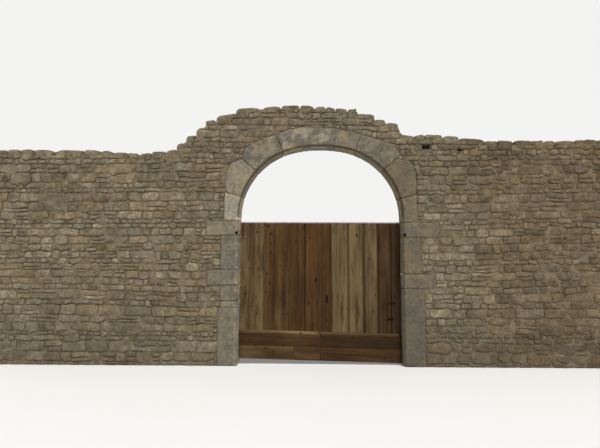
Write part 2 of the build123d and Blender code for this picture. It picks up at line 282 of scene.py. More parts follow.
@dataclass(frozen=True)
class RubbleFinish(Finish):
    """Field stones of one wall: buff, grey and brown, each a little different, with painted shade at their
    rims and painted tree shade over the right wing.
    """

    name: str = "rubble_stone"
    roughness: float = 0.92
    specular: float = 0.3
    relief: float = 0.008
    dark: tuple = tint(80, 71, 55)
    brown: tuple = tint(107, 96, 75)
    buff: tuple = tint(123, 111, 89)
    pale: tuple = tint(148, 137, 115)
    ochre: tuple = tint(128, 107, 75)
    grey: tuple = tint(111, 105, 92)
    lichen: tuple = tint(74, 69, 56)
    # painted shade at the stones' rims by the joints
    rim: tuple = tint(76, 66, 49)
    # warm tint with painted tree shade, multiplied over the right wing
    warmth: tuple = tint(205, 186, 158)
    soil: tuple = tint(70, 65, 56)

    def paint(self, g: Graph, place: Wire) -> None:
        """Paints from each stone's own values and the place on the wall."""
        tone, hue, edge = g.attribute("stone")
        along, _, above = g.split(place)
        stops = ((0.0, self.dark), (0.3, self.brown), (0.65, self.buff), (1.0, self.pale))
        body = g.noise(place, 8, 5, 0.66).between(0.32, 0.68) * 0.55 + tone * 0.45
        colour = g.node("ShaderNodeValToRGB", {"stops": stops}, {0: body})
        colour = g.mix(hue.between(0.7, 1.0) * 0.4, colour, self.ochre)
        colour = g.mix(hue.between(0.3, 0.05) * 0.4, colour, self.grey)
        cloud = g.noise(place, 1.6, 4, 0.6)
        mottle = g.noise(place, 21, 6, 0.72)
        speckle = g.noise(place, 120, 3, 0.65)
        crust = g.noise(place, 44, 3, 0.6)
        colour = g.shade(colour, mottle * 2.1 + crust * 1.5 + speckle * 0.8 + cloud * 0.7 - 1.57)
        patches = g.noise(place, 6, 6, 0.72).between(0.56, 0.7)
        colour = g.mix(patches * 0.4, colour, self.lichen)
        earth = g.noise(place, 0.8).between(0.5, 0.68)
        colour = g.mix(earth * 0.3, colour, self.ochre, "MULTIPLY")
        # the right wing is darker and warmer: a warm tone with painted tree shade
        colour = g.mix(along.between(1.9, 3.4) * 0.5, colour, self.warmth, "MULTIPLY")
        # painted shade along each stone's rim by the joints, broken up by noise
        rim_shade = edge * g.noise(place, 38).between(0.3, 0.55)
        colour = g.mix(rim_shade * 0.6, colour, self.rim)
        damp = above.between(1.1, 0.05) * (cloud + 0.3)
        colour = g.mix(damp * 0.4, colour, self.soil)
        pits = g.noise(place, 85, 2).between(0.60, 0.72)
        g.put(Base_Color=g.mix(pits * 0.45, colour, self.lichen))
        grit = g.noise(place, 55, 5, 0.7)
        g.bump(mottle * 2.2 + grit * 1.5 + speckle * 0.3 - pits * 0.4, self.relief)


@dataclass(frozen=True)
class MortarFinish(Finish):
    """Old lime mortar: sandy, crumbled and dusty."""

    name: str = "lime_mortar"
    roughness: float = 0.95
    specular: float = 0.25
    relief: float = 0.009
    pale: tuple = tint(119, 107, 85)
    dark: tuple = tint(89, 78, 60)

    def paint(self, g: Graph, place: Wire) -> None:
        """Paints soft clouds with sand."""
        cloud = g.noise(place, 5, 5, 0.6)
        sand = g.noise(place, 150, 3, 0.7)
        colour = g.mix(cloud.between(0.35, 0.65), self.dark, self.pale)
        g.put(Base_Color=g.shade(colour, 0.55 + sand * 0.9))
        g.bump(cloud * 1.2 + g.noise(place, 50, 4) + sand * 0.4, self.relief)


@dataclass(frozen=True)
class LimestoneFinish(Finish):
    """Dressed limestone: fine, pale, pitted, with lichen and moss."""

    name: str = "dressed_limestone"
    specular: float = 0.3
    relief: float = 0.0045
    grey: tuple = tint(130, 125, 114)
    buff: tuple = tint(138, 127, 104)
    warm: tuple = tint(129, 110, 78)
    lichen: tuple = tint(76, 72, 64)
    moss: tuple = tint(103, 98, 79)

    def paint(self, g: Graph, place: Wire) -> None:
        """Paints from each stone's own values, which carry painted light and shade, and the place on the
        wall.
        """
        tone, warmth, blotch = g.attribute("stone")
        cloud = g.noise(place, 3.2, 6, 0.65)
        mottle = g.noise(place, 17, 6, 0.72)
        grain = g.noise(place, 120, 3, 0.6)
        colour = g.mix(cloud.between(0.38, 0.64), self.grey, self.buff)
        colour = g.mix(warmth * (0.55 + cloud * 0.9), colour, self.warm)
        colour = g.shade(colour, (mottle * 2.0 + grain * 0.7 + cloud * 1.2 - 0.95) * tone)
        patches = (g.noise(place, 4.6, 7, 0.74) + blotch * 0.14).between(0.56, 0.70)
        colour = g.mix(patches * 0.72, colour, self.lichen)
        growth = g.noise(place, 9, 5, 0.65).between(0.56, 0.72)
        colour = g.mix(growth * 0.4, colour, self.moss)
        pits = g.noise(place, 62, 2).between(0.63, 0.74)
        g.put(Base_Color=g.mix(pits * 0.5, colour, self.lichen))
        rough = mottle * 1.3 + g.noise(place, 48, 4) * 0.6
        g.bump(rough + grain * 0.35 - pits * 0.6, self.relief)


@dataclass(frozen=True)
class PlankFinish(Finish):
    """Sawn softwood with knots: sound red-brown boards and others gone grey."""

    name: str = "gate_planks"
    roughness: float = 0.8
    specular: float = 0.12
    relief: float = 0.0011
    fresh: tuple = tint(76, 50, 22)
    fresh_dark: tuple = tint(44, 28, 13)
    grey: tuple = tint(109, 91, 61)
    grey_dark: tuple = tint(74, 60, 40)
    stain: tuple = tint(44, 32, 18)
    knot: tuple = tint(21, 13, 8)
    ring_pitch: float = 0.0065
    knot_stretch: float = 1.45

    def paint(self, g: Graph, place: Wire) -> None:
        """Paints from each board's grain axes, tone and nearest knot; the tone carries painted shade on
        recessed lips and splits and a painted highlight on the top kick board's upper edge.
        """
        across, through, along = g.attribute("grain")
        weathered, level, seed = g.attribute("board")
        knot_across, knot_along, knot_size = g.attribute("knot")

        def fibres(wide: float, high: float, detail: float, rough: float = 0.55) -> Wire:
            """Noise drawn out along the grain and bent round the knots."""
            spot = g.join(bent * wide + seed, through * wide, along * high)
            return g.noise(spot, 1, detail, rough)

        side = (across - knot_across) / knot_size
        reach = (along - knot_along) / (knot_size * self.knot_stretch)
        away = (side * side + reach * reach).root()
        bent = across - (across - knot_across) * away.between(3.2, 0.4) * 0.55
        wander = g.noise(g.join(bent + seed, through, along * 0.045), 7, 2) * 0.055
        wander = wander + g.noise(g.join(bent, through, along * 0.6), 4, 2) * 0.03
        rings = ((bent + wander) / self.ring_pitch).fraction()
        late = rings.between(0.25, 0.85) * rings.between(1.0, 0.9)
        fibre = g.noise(g.join(bent * 260, through * 260, along * 5 + seed), 1)
        streak = fibres(17, 0.55, 3, 0.6)
        sound = g.mix(late * 0.55, self.fresh, self.fresh_dark)
        faded = g.mix(late * 0.45, self.grey, self.grey_dark)
        patch = g.noise(g.join(across * 3 + seed, seed, along * 1.1), 1, 4, 0.6) - 0.5
        colour = g.mix((weathered + patch * 1.1).between(0.0, 1.0), sound, faded)
        colour = g.shade(colour, (fibre * 0.8 + streak * 2.2 + patch * 1.2 - 0.5) * level)
        damp = g.noise(g.join(bent * 9 + seed, through, along * 1.3), 1, 5, 0.65)
        # damp stains in patches, and the boards darker towards the foot
        low = g.split(place)[2].between(2.3, 0.8)
        colour = g.mix(damp.between(0.52, 0.68) * 0.65 + low * 0.16, colour, self.stain)
        colour = g.mix(away.between(2.4, 0.9) * 0.5, colour, self.fresh_dark)
        heart = away.between(1.15, 0.75)
        knot_rings = 0.85 + (away * 4.5).fraction() * 0.5
        colour = g.mix(heart * knot_rings, colour, self.knot)
        check = fibres(95, 1.6, 2).between(0.74, 0.80)
        g.put(Base_Color=g.mix(check * 0.75, colour, self.knot))
        g.bump(fibre * 0.5 - late * 0.4 - check * 2.2 + heart * 0.6, self.relief)


@dataclass(frozen=True)
class IronFinish(Finish):
    """Dark forged iron with brown rust in its hollows."""

    name: str = "dark_iron"
    roughness: float = 0.7
    specular: float = 0.06
    relief: float = 0.0006
    iron: tuple = tint(10, 9, 9)
    rust: tuple = tint(30, 20, 14)

    def paint(self, g: Graph, place: Wire) -> None:
        """Paints iron with a bloom of rust, rougher where it rusts."""
        bloom = g.noise(place, 28, 5, 0.7)
        grit = g.noise(place, 320)
        rusty = bloom.between(0.48, 0.66)
        colour = g.shade(g.mix(rusty, self.iron, self.rust), 0.7 + grit * 0.6)
        g.put(Base_Color=colour, Roughness=self.roughness + rusty * 0.2)
        g.bump(bloom + grit * 0.5, self.relief)


@dataclass(frozen=True)
class HollowFinish(Finish):
    """Painted shade for the inside of a keyhole."""

    name: str = "keyhole_dark"
    roughness: float = 0.95
    relief: float = 0.0003
    soot: tuple = tint(12, 11, 10)
    lighter_shade: tuple = tint(26, 23, 20)

    def paint(self, g: Graph, place: Wire) -> None:
        """Paints the keyhole's shade nearly black, a little uneven."""
        lighter_shade = g.noise(place, 90)
        g.put(Base_Color=g.mix(lighter_shade.between(0.4, 0.7), self.soot, self.lighter_shade))
        g.bump(lighter_shade, self.relief)


@dataclass(frozen=True)
class ZincFinish(Finish):
    """Dull zinc strip, pale and slightly lilac, partly painted sky reflection, with white bloom."""

    name: str = "dull_zinc"
    roughness: float = 0.48
    metallic: float = 0.35
    relief: float = 0.0004
    # pale lilac grey: zinc with painted sky reflection
    zinc: tuple = tint(143, 133, 138)
    bloom: tuple = tint(171, 164, 162)

    def paint(self, g: Graph, place: Wire) -> None:
        """Paints clouds of bloom and fine scratches along the strip."""
        cloud = g.noise(g.scaled(place, (1, 4, 4)), 14, 5, 0.65)
        scratch = g.noise(g.scaled(place, (8, 300, 300)), 1, 2)
        colour = g.mix(cloud.between(0.4, 0.7), self.zinc, self.bloom)
        g.put(Base_Color=g.shade(colour, 0.8 + scratch * 0.4), Roughness=self.roughness + cloud * 0.2)
        g.bump(cloud + scratch * 0.3, self.relief)


@dataclass(frozen=True)
class FloorFinish(Finish):
    """Plain pale floor of the studio."""

    name: str = "pale_floor"
    light: tuple = tint(226, 225, 222)
    dim: tuple = tint(219, 218, 215)

    def paint(self, g: Graph, place: Wire) -> None:
        """Paints two pale greys that hardly differ."""
        g.put(Base_Color=g.mix(g.noise(place, 0.6, 2) * 0.4, self.light, self.dim))


LATTICE = np.array((73856093, 19349663, 83492791), dtype=np.int64)
WORD = 0xFFFFFFFF
STIR = 668265263
SEED_STEP = 7919


def lattice_noise(points: Array, scale: float, seed: int) -> Array:
    """Smooth noise from a hashed lattice.

    Args:
        points: places, one row each, in two or three dimensions.
        scale: lattice cells in a metre.
        seed: picks the pattern.

    Returns:
        One value between -1 and 1 for each place.
    """
    spot = points * scale
    cell = np.floor(spot).astype(np.int64)
    part = spot - cell
    part = part * part * (3 - 2 * part)
    total = np.zeros(len(points))
    for corner in product((0, 1), repeat=points.shape[1]):
        key = ((cell + corner) @ LATTICE[: points.shape[1]] + seed * SEED_STEP) & WORD
        for shift in (15, 13):
            key = ((key ^ (key >> shift)) * STIR) & WORD
        weight = np.prod(np.where(corner, part, 1 - part), axis=1)
        total += weight * ((key ^ (key >> 16)) / WORD * 2 - 1)
    return total


def layered(points: Array, seed: int, *layers: tuple[float, float, int]) -> Array:
    """Sum of lattice noises.

    Args:
        points: places, one row each.
        seed: picks the pattern.
        layers: weight, scale and the seed's shift of each noise.

    Returns:
        One value for each place.
    """
    return sum(weight * lattice_noise(points, scale, seed + shift) for weight, scale, shift in layers)


def inside_box(points: Array) -> Array:
    """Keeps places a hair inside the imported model's box."""
    return np.clip(points, np.array(CAD_BOX[0]) + HAIR, np.array(CAD_BOX[1]) - HAIR)


def read(rows: bpy.types.bpy_prop_collection, key: str, width: int = 3, kind: type = np.float32) -> Array:
    """Reads a property of all the rows.

    Args:
        rows: a mesh's vertices or edges.
        key: the property's name.
        width: how many numbers each row has.
        kind: what kind of number they are.

    Returns:
        The numbers, one row each.
    """
    values = np.zeros(len(rows) * width, kind)
    rows.foreach_get(key, values)
    return values.reshape(-1, width)


def carry(mesh: Mesh, key: str, rows: Array) -> None:
    """Stores a vector for each vertex of a mesh."""
    store = mesh.attributes.new(key, "FLOAT_VECTOR", "POINT")
    store.data.foreach_set("vector", rows.astype(np.float32).ravel())


def make_mesh(name: str, points: Array, faces: list[Array], sharp: float = 0) -> Mesh:
    """Builds a smooth-shaded mesh from arrays.

    Args:
        name: the mesh's name.
        points: places of the vertices, one row each.
        faces: arrays of vertex numbers, each with its own count of corners a row.
        sharp: the angle in degrees from which edges stay sharp, or 0.

    Returns:
        The mesh.
    """
    mesh = bpy.data.meshes.new(name)
    mesh.vertices.add(len(points))
    mesh.vertices.foreach_set("co", points.astype(np.float32).ravel())
    corners = np.concatenate([rows.ravel() for rows in faces]).astype(np.int32)
    counts = np.concatenate([np.full(len(rows), rows.shape[1]) for rows in faces])
    mesh.loops.add(len(corners))
    mesh.loops.foreach_set("vertex_index", corners)
    mesh.polygons.add(len(counts))
    mesh.polygons.foreach_set("loop_start", (np.cumsum(counts) - counts).astype(np.int32))
    mesh.update(calc_edges=True)
    return smoothed(mesh, sharp)


def smoothed(mesh: Mesh, sharp: float = 0) -> Mesh:
    """Shades a mesh smooth, with sharp edges from an angle in degrees if there is one."""
    mesh.shade_smooth()
    if sharp:
        mesh.set_sharp_from_angle(angle=math.radians(sharp))
    return mesh


def bands(corners: int, rings: int) -> Array:
    """Quads between rings of vertices that are numbered one ring after the other."""
    here = np.arange(corners)
    following = np.roll(here, -1)
    band = np.stack((here, following, following + corners, here + corners), axis=1)
    return np.concatenate([band + number * corners for number in range(rings - 1)])


def repeated(sets: Iterable[Array], count: int, size: int) -> list[Array]:
    """Numbers faces anew for each of many like pieces.

    Args:
        sets: the faces of the first piece.
        count: how many pieces there are.
        size: how many vertices each has.

    Returns:
        The faces of all the pieces.
    """
    start = (np.arange(count) * size)[:, None, None]
    return [(rows[None] + start).reshape(-1, rows.shape[1]) for rows in sets]


def add_piece(name: str, mesh: Mesh, material: Material, body: Body) -> bpy.types.Object:
    """Adds a piece that rides on a body.

    Args:
        name: the piece's name.
        mesh: its mesh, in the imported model's frame.
        material: its finish.
        body: what it moves with.

    Returns:
        The new object.
    """
    piece = bpy.data.objects.new(name, mesh)
    mesh.materials.clear()
    mesh.materials.append(material)
    bpy.context.scene.collection.objects.link(piece)
    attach(piece, body.value)
    log.info("%s: %d faces", name, len(mesh.polygons))
    return piece


def triangles(node: str) -> tuple[Array, Array]:
    """Corners and normals of a node's triangles at rest."""
    mesh = NODES[node].data
    mesh.calc_loop_triangles()
    points = np.array([vertex.co for vertex in mesh.vertices])
    corners = points[np.array([tri.vertices for tri in mesh.loop_triangles])]
    normals = np.cross(corners[:, 1] - corners[:, 0], corners[:, 2] - corners[:, 0])
    return corners, normals / np.maximum(np.linalg.norm(normals, axis=1, keepdims=True), 1e-12)


def welded(node: str, whole: bool = False) -> BMesh:
    """A node's shape with its vertices joined, and its flat faces made whole if asked."""
    shape = bmesh.new()
    shape.from_mesh(NODES[node].data)
    bmesh.ops.remove_doubles(shape, verts=shape.verts, dist=WELD)
    if whole:
        bmesh.ops.dissolve_limit(shape, angle_limit=FLAT_ANGLE, verts=shape.verts, edges=shape.edges)
    return shape


def solids(node: str) -> list[BMesh]:
    """The separate solids of a node, with flat faces made whole."""
    whole = welded(node, whole=True)
    seen, found = set(), []
    for first in whole.verts:
        if first.index in seen:
            continue
        group, queue = {first: None}, [first]
        while queue:
            for edge in queue.pop().link_edges:
                for vertex in edge.verts:
                    if vertex not in group:
                        group[vertex] = None
                        queue.append(vertex)
        seen |= {vertex.index for vertex in group}
        solid = bmesh.new()
        twins = {vertex: solid.verts.new(vertex.co) for vertex in group}
        for face in dict.fromkeys(face for vertex in group for face in vertex.link_faces):
            solid.faces.new([twins[vertex] for vertex in face.verts])
        found.append(solid)
    whole.free()
    return found


def extent(shape: BMesh) -> tuple[Array, Array]:
    """The low and high corner of a shape."""
    points = np.array([vertex.co for vertex in shape.verts])
    return points.min(axis=0), points.max(axis=0)


def finished(shape: BMesh, name: str) -> Mesh:
    """Turns a shape into a mesh and frees it."""
    mesh = bpy.data.meshes.new(name)
    shape.to_mesh(mesh)
    shape.free()
    return mesh


def ease(shape: BMesh, width: float, turn: float, segments: int = 2) -> None:
    """Bevels the edges of a shape.

    Args:
        shape: the shape.
        width: the bevel's offset.
        turn: the least angle between an edge's faces, in radians.
        segments: how many faces round an edge off.
    """
    edges = [edge for edge in shape.edges if len(edge.link_faces) == 2 and edge.calc_face_angle() > turn]
    bmesh.ops.bevel(
        shape, geom=edges, offset=width, segments=segments, profile=0.5, affect="EDGES", clamp_overlap=True
    )


def score(shape: BMesh, place: Vector, normal: Vector) -> None:
    """Divides a shape's faces along a plane and keeps both sides."""
    geometry = [*shape.verts, *shape.edges, *shape.faces]
    bmesh.ops.bisect_plane(shape, geom=geometry, plane_co=place, plane_no=normal)


def modified(mesh: Mesh, kind: str, **settings: object) -> Mesh:
    """Applies a modifier to a mesh, which it removes.

    Args:
        mesh: the mesh before.
        kind: the modifier's type.
        settings: the modifier's properties.

    Returns:
        The mesh after.
    """
    holder = bpy.data.objects.new("holder", mesh)
    bpy.context.scene.collection.objects.link(holder)
    modifier = holder.modifiers.new(kind, kind)
    for key, value in settings.items():
        setattr(modifier, key, value)
    graph = bpy.context.evaluated_depsgraph_get()
    result = bpy.data.meshes.new_from_object(holder.evaluated_get(graph))
    bpy.data.objects.remove(holder)
    bpy.data.meshes.remove(mesh)
    return result


def move(mesh: Mesh, points: Array) -> None:
    """Puts a mesh's vertices in new places."""
    mesh.vertices.foreach_set("co", points.astype(np.float32).ravel())
    mesh.update()


def tube(corners: int, rings: int) -> list[Array]:
    """Faces of a tube between rings of vertices, with a lid at both ends."""
    here = np.arange(corners)
    return [bands(corners, rings), here[::-1][None], here[None] + (rings - 1) * corners]


@dataclass
class WallFace:
    """One face of the wall that shows rubble, with a flat frame of its own.

    The first axis runs along the face, the second one up, and stones stand out from it by
    their height above the mortar.
    """

    name: str
    along: Array
    low: Span
    high: Span
    level: float
    step: float = 0.005
    squarely: float = 0.95
    outermost: float = 0.001
    skin_level: float = 0.002
    skin_waves: Layers = ((0.0045, 3.1, 0), (0.0045, 11, 1), (0.003, 27, 2))
    mask: Array | None = None

    @property
    def out(self) -> Array:
        """The direction that the face looks in."""
        return np.cross(self.along, UP)

    def grid(self) -> tuple[Array, Array]:
        """Places of the raster's columns and rows along the two axes."""
        columns = np.arange(self.low[0], self.high[0], self.step) + self.step / 2
        rows = np.arange(self.low[1], self.high[1], self.step) + self.step / 2
        return columns, rows

    def covered_by(self, nodes: Iterable[str]) -> Array:
        """Marks the cells under the nodes' outermost triangles that look this way."""
        columns, rows = self.grid()
        cells = np.zeros((len(rows), len(columns)), dtype=bool)
        for node in nodes:
            corners, normals = triangles(node)
            out = corners @ self.out
            chosen = (normals @ self.out > self.squarely) & (out.min(axis=1) > out.max() - self.outermost)
            for corner in corners[chosen] @ np.array((self.along, UP)).T:
                left, right = np.searchsorted(columns, (corner[:, 0].min(), corner[:, 0].max()))
                low, high = np.searchsorted(rows, (corner[:, 1].min(), corner[:, 1].max()))
                u, v = columns[None, left:right], rows[low:high, None]
                inside = np.ones((high - low, right - left), dtype=bool)
                for (x0, z0), (x1, z1) in zip(corner, np.roll(corner, -1, axis=0)):
                    inside &= (x1 - x0) * (v - z0) - (z1 - z0) * (u - x0) >= -TINY
                cells[low:high, left:right] |= inside
        return cells

    def skin(self, allowed: Array, pitch: float, seed: int) -> Mesh:
        """Makes the uneven mortar surface between the stones.

        Args:
            allowed: the cells that the surface may cover, also behind the dressed stones.
            pitch: distance between its vertices.
            seed: picks its waves.

        Returns:
            The surface as a mesh in the row's frame.
        """
        jump = round(pitch / self.step)
        high, wide = self.mask.shape[0] // jump, self.mask.shape[1] // jump
        whole, near = (
            cells[: high * jump, : wide * jump].reshape(high, jump, wide, jump)
            for cells in (allowed, self.mask)
        )
        row, column = np.nonzero(whole.all(axis=(1, 3)) & near.any(axis=(1, 3)))
        along = self.low[0] + np.arange(wide + 1) * jump * self.step
        rising = self.low[1] + np.arange(high + 1) * jump * self.step
        first = row * (wide + 1) + column
        faces = np.stack((first, first + 1, first + wide + 2, first + wide + 1), axis=1)
        used, renumbered = np.unique(faces, return_inverse=True)
        flat = np.stack(np.meshgrid(along, rising), axis=2).reshape(-1, 2)[used]
        heights = self.skin_level + layered(flat, seed, *self.skin_waves)
        points = self.place(flat, np.zeros((len(flat), 1, 2)), heights[:, None])[:, 0]
        return make_mesh(f"mortar_{self.name}", points, [renumbered.reshape(faces.shape)])

    def below_top(self, covered: Array, down: float, aside: float, above: float) -> Array:
        """Leaves out a band under the free top edge and beside its steps.

        Args:
            covered: the cells of the wall, dressed stones and all.
            down: the band's depth under the top.
            aside: its width beside a step.
            above: the height from which the top is free.

        Returns:
            The cells that are left.
        """
        rows, columns = round(down / self.step), round(aside / self.step)
        kept = covered.copy()
        kept[:-rows] &= covered[rows:]
        kept[-rows:] = False
        for shift in (-columns, columns):
            kept &= np.roll(covered, shift, axis=1)
        start = np.searchsorted(self.grid()[1], above)
        kept[:start] = covered[:start]
        return kept

    def place(self, middles: Array, offsets: Array, heights: Array) -> Array:
        """Puts stones on the face.

        Args:
            middles: each stone's middle on the face, one row each.
            offsets: places of its vertices from its middle, on the face.
            heights: their heights above the mortar.

        Returns:
            The vertices in the row's frame.
        """
        flat = middles[:, None, :] + offsets
        return flat[..., :1] * self.along + flat[..., 1:] * UP + (heights[..., None] + self.level) * self.out


@dataclass(frozen=True)
class StoneForm:
    """Section of a rubble stone from its buried skirt to the middle of its face."""

    corners: int
    rings: tuple[tuple[float, float], ...]
    scales: tuple[float, ...]
    rim_rings: int = 3
    widest_inset: float = 0.45
    crown: float = 0.0025
    chips: int = 3
    chip_depth: float = 0.009
    chip_start: Span = (0.05, 0.75)
    chip_slope: Span = (0.05, 0.3)

    def topology(self) -> tuple[list[Array], int]:
        """Faces of one stone, with its middle's triangles and its buried end, and its count of vertices."""
        layers = len(self.rings) + len(self.scales)
        here, last = np.arange(self.corners), (layers - 1) * self.corners
        hub = np.full(self.corners, last + self.corners)
        fan = np.stack((here + last, np.roll(here, -1) + last, hub), axis=1)
        return [bands(self.corners, layers), fan, here[::-1][None]], last + self.corners + 1

    def build(self, outline: Array, height: Array, soft: Array) -> tuple[Array, Array, Array]:
        """Shapes stones over their outlines.

        Args:
            outline: each stone's corners from its middle.
            height: how far each stone stands out of the mortar.
            soft: how rounded each stone is, about 1.

        Returns:
            Offsets on the face, heights, and the weight of the painted rim shade, 1 at the rim to 0 at the
            middle.
        """
        reach = np.linalg.norm(outline, axis=2, keepdims=True)
        top = height + self.crown * soft
        offsets, levels = [], []
        for inset, drop in self.rings:
            pull = np.minimum(inset * soft[:, None, None], reach * self.widest_inset)
            offsets.append(outline * (1 - pull / reach))
            levels.append(np.full(len(outline), drop) if drop < 0 else height - drop * soft)
        for scale in self.scales:
            offsets.append(outline * scale)
            levels.append(top)
        heights = np.repeat(np.stack(levels, axis=1), self.corners, axis=1)
        rim = np.repeat(np.arange(len(levels)) < self.rim_rings, self.corners).astype(float)
        return (
            np.concatenate([*offsets, np.zeros((len(outline), 1, 2))], axis=1),
            np.concatenate((heights, top[:, None]), axis=1),
            np.broadcast_to(np.append(rim, 0.0), (len(outline), len(rim) + 1)),
        )

    def hew(self, offsets: Array, rng: Chance) -> Array:
        """Depths of the flat chips that break each stone's face, for every vertex."""
        count = len(offsets)
        size = np.abs(offsets).max(axis=1)
        depth = np.zeros(offsets.shape[:2])
        for _ in range(self.chips):
            turn = rng.uniform(0, 2 * math.pi, count)
            way = np.stack((np.cos(turn), np.sin(turn)), axis=1)
            reach = (offsets * way[:, None]).sum(axis=2)
            start = (size * np.abs(way)).sum(axis=1) * rng.uniform(*self.chip_start, count)
            steep = rng.uniform(*self.chip_slope, count)
            depth += np.maximum(reach - start[:, None], 0) * steep[:, None]
        return np.minimum(depth, self.chip_depth)


@dataclass(frozen=True)
class Coursing:
    """Lays rough courses of stones over a face and works out the outline of each stone."""

    seed: int
    length_range: Span = (0.09, 0.46)
    course: float = 0.112
    course_range: Span = (0.06, 0.18)
    course_spread: float = 0.27
    length_ratio: float = 1.85
    length_spread: float = 0.42
    tilt: float = 0.035
    split_share: float = 0.2
    tall_share: float = 0.12
    tall: float = 0.78
    start_slip: float = 0.2
    overrun: float = 0.1
    split_range: Span = (0.35, 0.62)
    split_slip: float = 0.15
    tall_slip: float = 0.2
    length_play: Span = (0.9, 1.1)
    height_play: Span = (0.85, 1.1)
    wave: float = 0.04
    wave_scales: Span = (0.45, 0.9)
    wobble: float = 0.014
    warp: Layers = ((1, 9, 5), (0.5, 34, 9))
    smoothing: Span = (0.0, 0.55)
    ragged: float = 0.0028
    ragged_range: Span = (-1, 0.35)
    smallest: float = 0.0012
    window: float = 2.1
    window_margin: float = 0.03
    squareness: int = 6
    ray_step: float = 0.03
    ray_range: Span = (0.1, 2.6)

    def sites(self, face: WallFace) -> Array:
        """Middles, half sizes and tilts of the stones before they crowd each other."""
        rng = np.random.default_rng(self.seed)
        rows = []
        v = face.low[1] - self.course / 2
        while v < face.high[1]:
            high = rng.lognormal(math.log(self.course), self.course_spread)
            high = float(np.clip(high, *self.course_range))
            u = face.low[0] - rng.uniform(0, self.start_slip)
            while u < face.high[0] + self.overrun:
                ratio = self.length_ratio * rng.lognormal(0, self.length_spread)
                long = float(np.clip(high * ratio, *self.length_range))
                rows += self._stones(rng, u + long / 2, v + high / 2, long, high)
                u += long
            v += high
        sites = np.array(rows)
        sites[:, 1] += lattice_noise(sites[:, :2] * self.wave_scales, 1.0, self.seed) * self.wave
        return sites

    def _stones(self, rng: Chance, u: float, v: float, long: float, high: float) -> list[tuple]:
        """One stone, a tall one that breaks the course, or two thin ones on each other."""
        chance = rng.random()
        tilt = rng.normal(0, self.tilt)
        if chance < self.split_share and high > self.course:
            share = rng.uniform(*self.split_range)
            slip = rng.uniform(-self.split_slip, self.split_slip) * long
            lower = (u, v - high * (1 - share) / 2, long / 2, high * share / 2, tilt)
            upper = (u + slip, v + high * share / 2, long / 2, high * (1 - share) / 2, tilt / 2)
            return [lower, upper]
        if chance > 1 - self.tall_share:
            slip = rng.uniform(-self.tall_slip, self.tall_slip) * high
            return [(u, v + slip, long / 2, high * self.tall, tilt)]
        half = long / 2 * rng.uniform(*self.length_play)
        return [(u, v, half, high / 2 * rng.uniform(*self.height_play), tilt)]

    def labels(self, face: WallFace, sites: Array) -> Array:
        """Gives each cell of the face to the stone that claims it most, and -1 outside."""
        columns, rows = face.grid()
        spots = np.stack(np.meshgrid(columns, rows), axis=2).reshape(-1, 2)
        shift = [layered(spots, self.seed + axis, *self.warp) for axis in (0, 1)]
        warped = (spots + self.wobble * np.stack(shift, axis=1)).reshape(len(rows), len(columns), 2)
        best = np.full(face.mask.shape, np.inf)
        label = np.full(face.mask.shape, -1)
        for number, (u, v, a, b, tilt) in enumerate(sites):
            wide, tall = self.window * a + self.window_margin, self.window * b + self.window_margin
            left, right = np.searchsorted(columns, (u - wide, u + wide))
            low, high = np.searchsorted(rows, (v - tall, v + tall))
            window = np.s_[low:high, left:right]
            du, dv = warped[window][..., 0] - u, warped[window][..., 1] - v
            claim = ((du + dv * tilt) / a) ** self.squareness + ((dv - du * tilt) / b) ** self.squareness
            nearer = claim < best[window]
            best[window][nearer] = claim[nearer]
            label[window][nearer] = number
        label[~face.mask] = -1
        return label

    def outlines(self, face: WallFace, corners: int) -> tuple[Array, Array]:
        """Cuts the stones to their cells.

        Args:
            face: the face that they cover.
            corners: how many points each outline has.

        Returns:
            Middles, and the outlines' corners from the middles.
        """
        sites = self.sites(face)
        label = self.labels(face, sites)
        clear = label >= 0
        for shift in product((-1, 0, 1), repeat=2):
            clear &= label == np.roll(label, shift, axis=(0, 1))
        clear[[0, -1]] = False
        clear[:, [0, -1]] = False
        columns, rows = face.grid()
        row, column = np.nonzero(clear)
        owner = label[row, column]
        count = np.bincount(owner, minlength=len(sites))
        share = np.maximum(count, 1)

        def average(values: Array) -> Array:
            """The mean of a value of both axes over each stone's cells."""
            return np.stack([np.bincount(owner, part, len(sites)) / share for part in values.T], axis=1)

        spots = np.stack((columns[column], rows[row]), axis=1)
        middle = average(spots)
        half = np.sqrt(average((spots - middle[owner]) ** 2) * 3)
        numbers = np.nonzero(count * face.step**2 > self.smallest)[0]
        middle, half = middle[numbers], np.maximum(half[numbers], face.step)
        turn = np.arange(corners) * 2 * math.pi / corners + math.pi / 4
        rays = np.stack((np.cos(turn), np.sin(turn)), axis=1)[None] * half[:, None]
        stops = np.arange(*self.ray_range, self.ray_step)
        probe = middle[:, None, None] + rays[:, :, None] * stops[None, None, :, None]
        at_column, at_row = (
            np.clip(((probe[..., axis] - face.low[axis]) / face.step).astype(int), 0, len(places) - 1)
            for axis, places in enumerate((columns, rows))
        )
        inside = (label[at_row, at_column] == numbers[:, None, None]) & clear[at_row, at_column]
        ended = np.concatenate((inside, np.zeros_like(inside[..., :1])), axis=2)
        reach = stops[np.argmin(ended, axis=2).clip(0, len(stops) - 1)]
        blend = np.random.default_rng(self.seed + 1).uniform(*self.smoothing, (len(numbers), 1))
        smooth = (np.roll(reach, 1, axis=1) + np.roll(reach, -1, axis=1)) / 2
        reach = np.minimum(reach, reach * (1 - blend) + smooth * blend)
        outline = rays * reach[..., None]
        rough = np.random.default_rng(self.seed + 3).uniform(*self.ragged_range, reach.shape) * self.ragged
        length = np.linalg.norm(outline, axis=2)
        return middle, outline * ((length + rough) / length)[..., None]


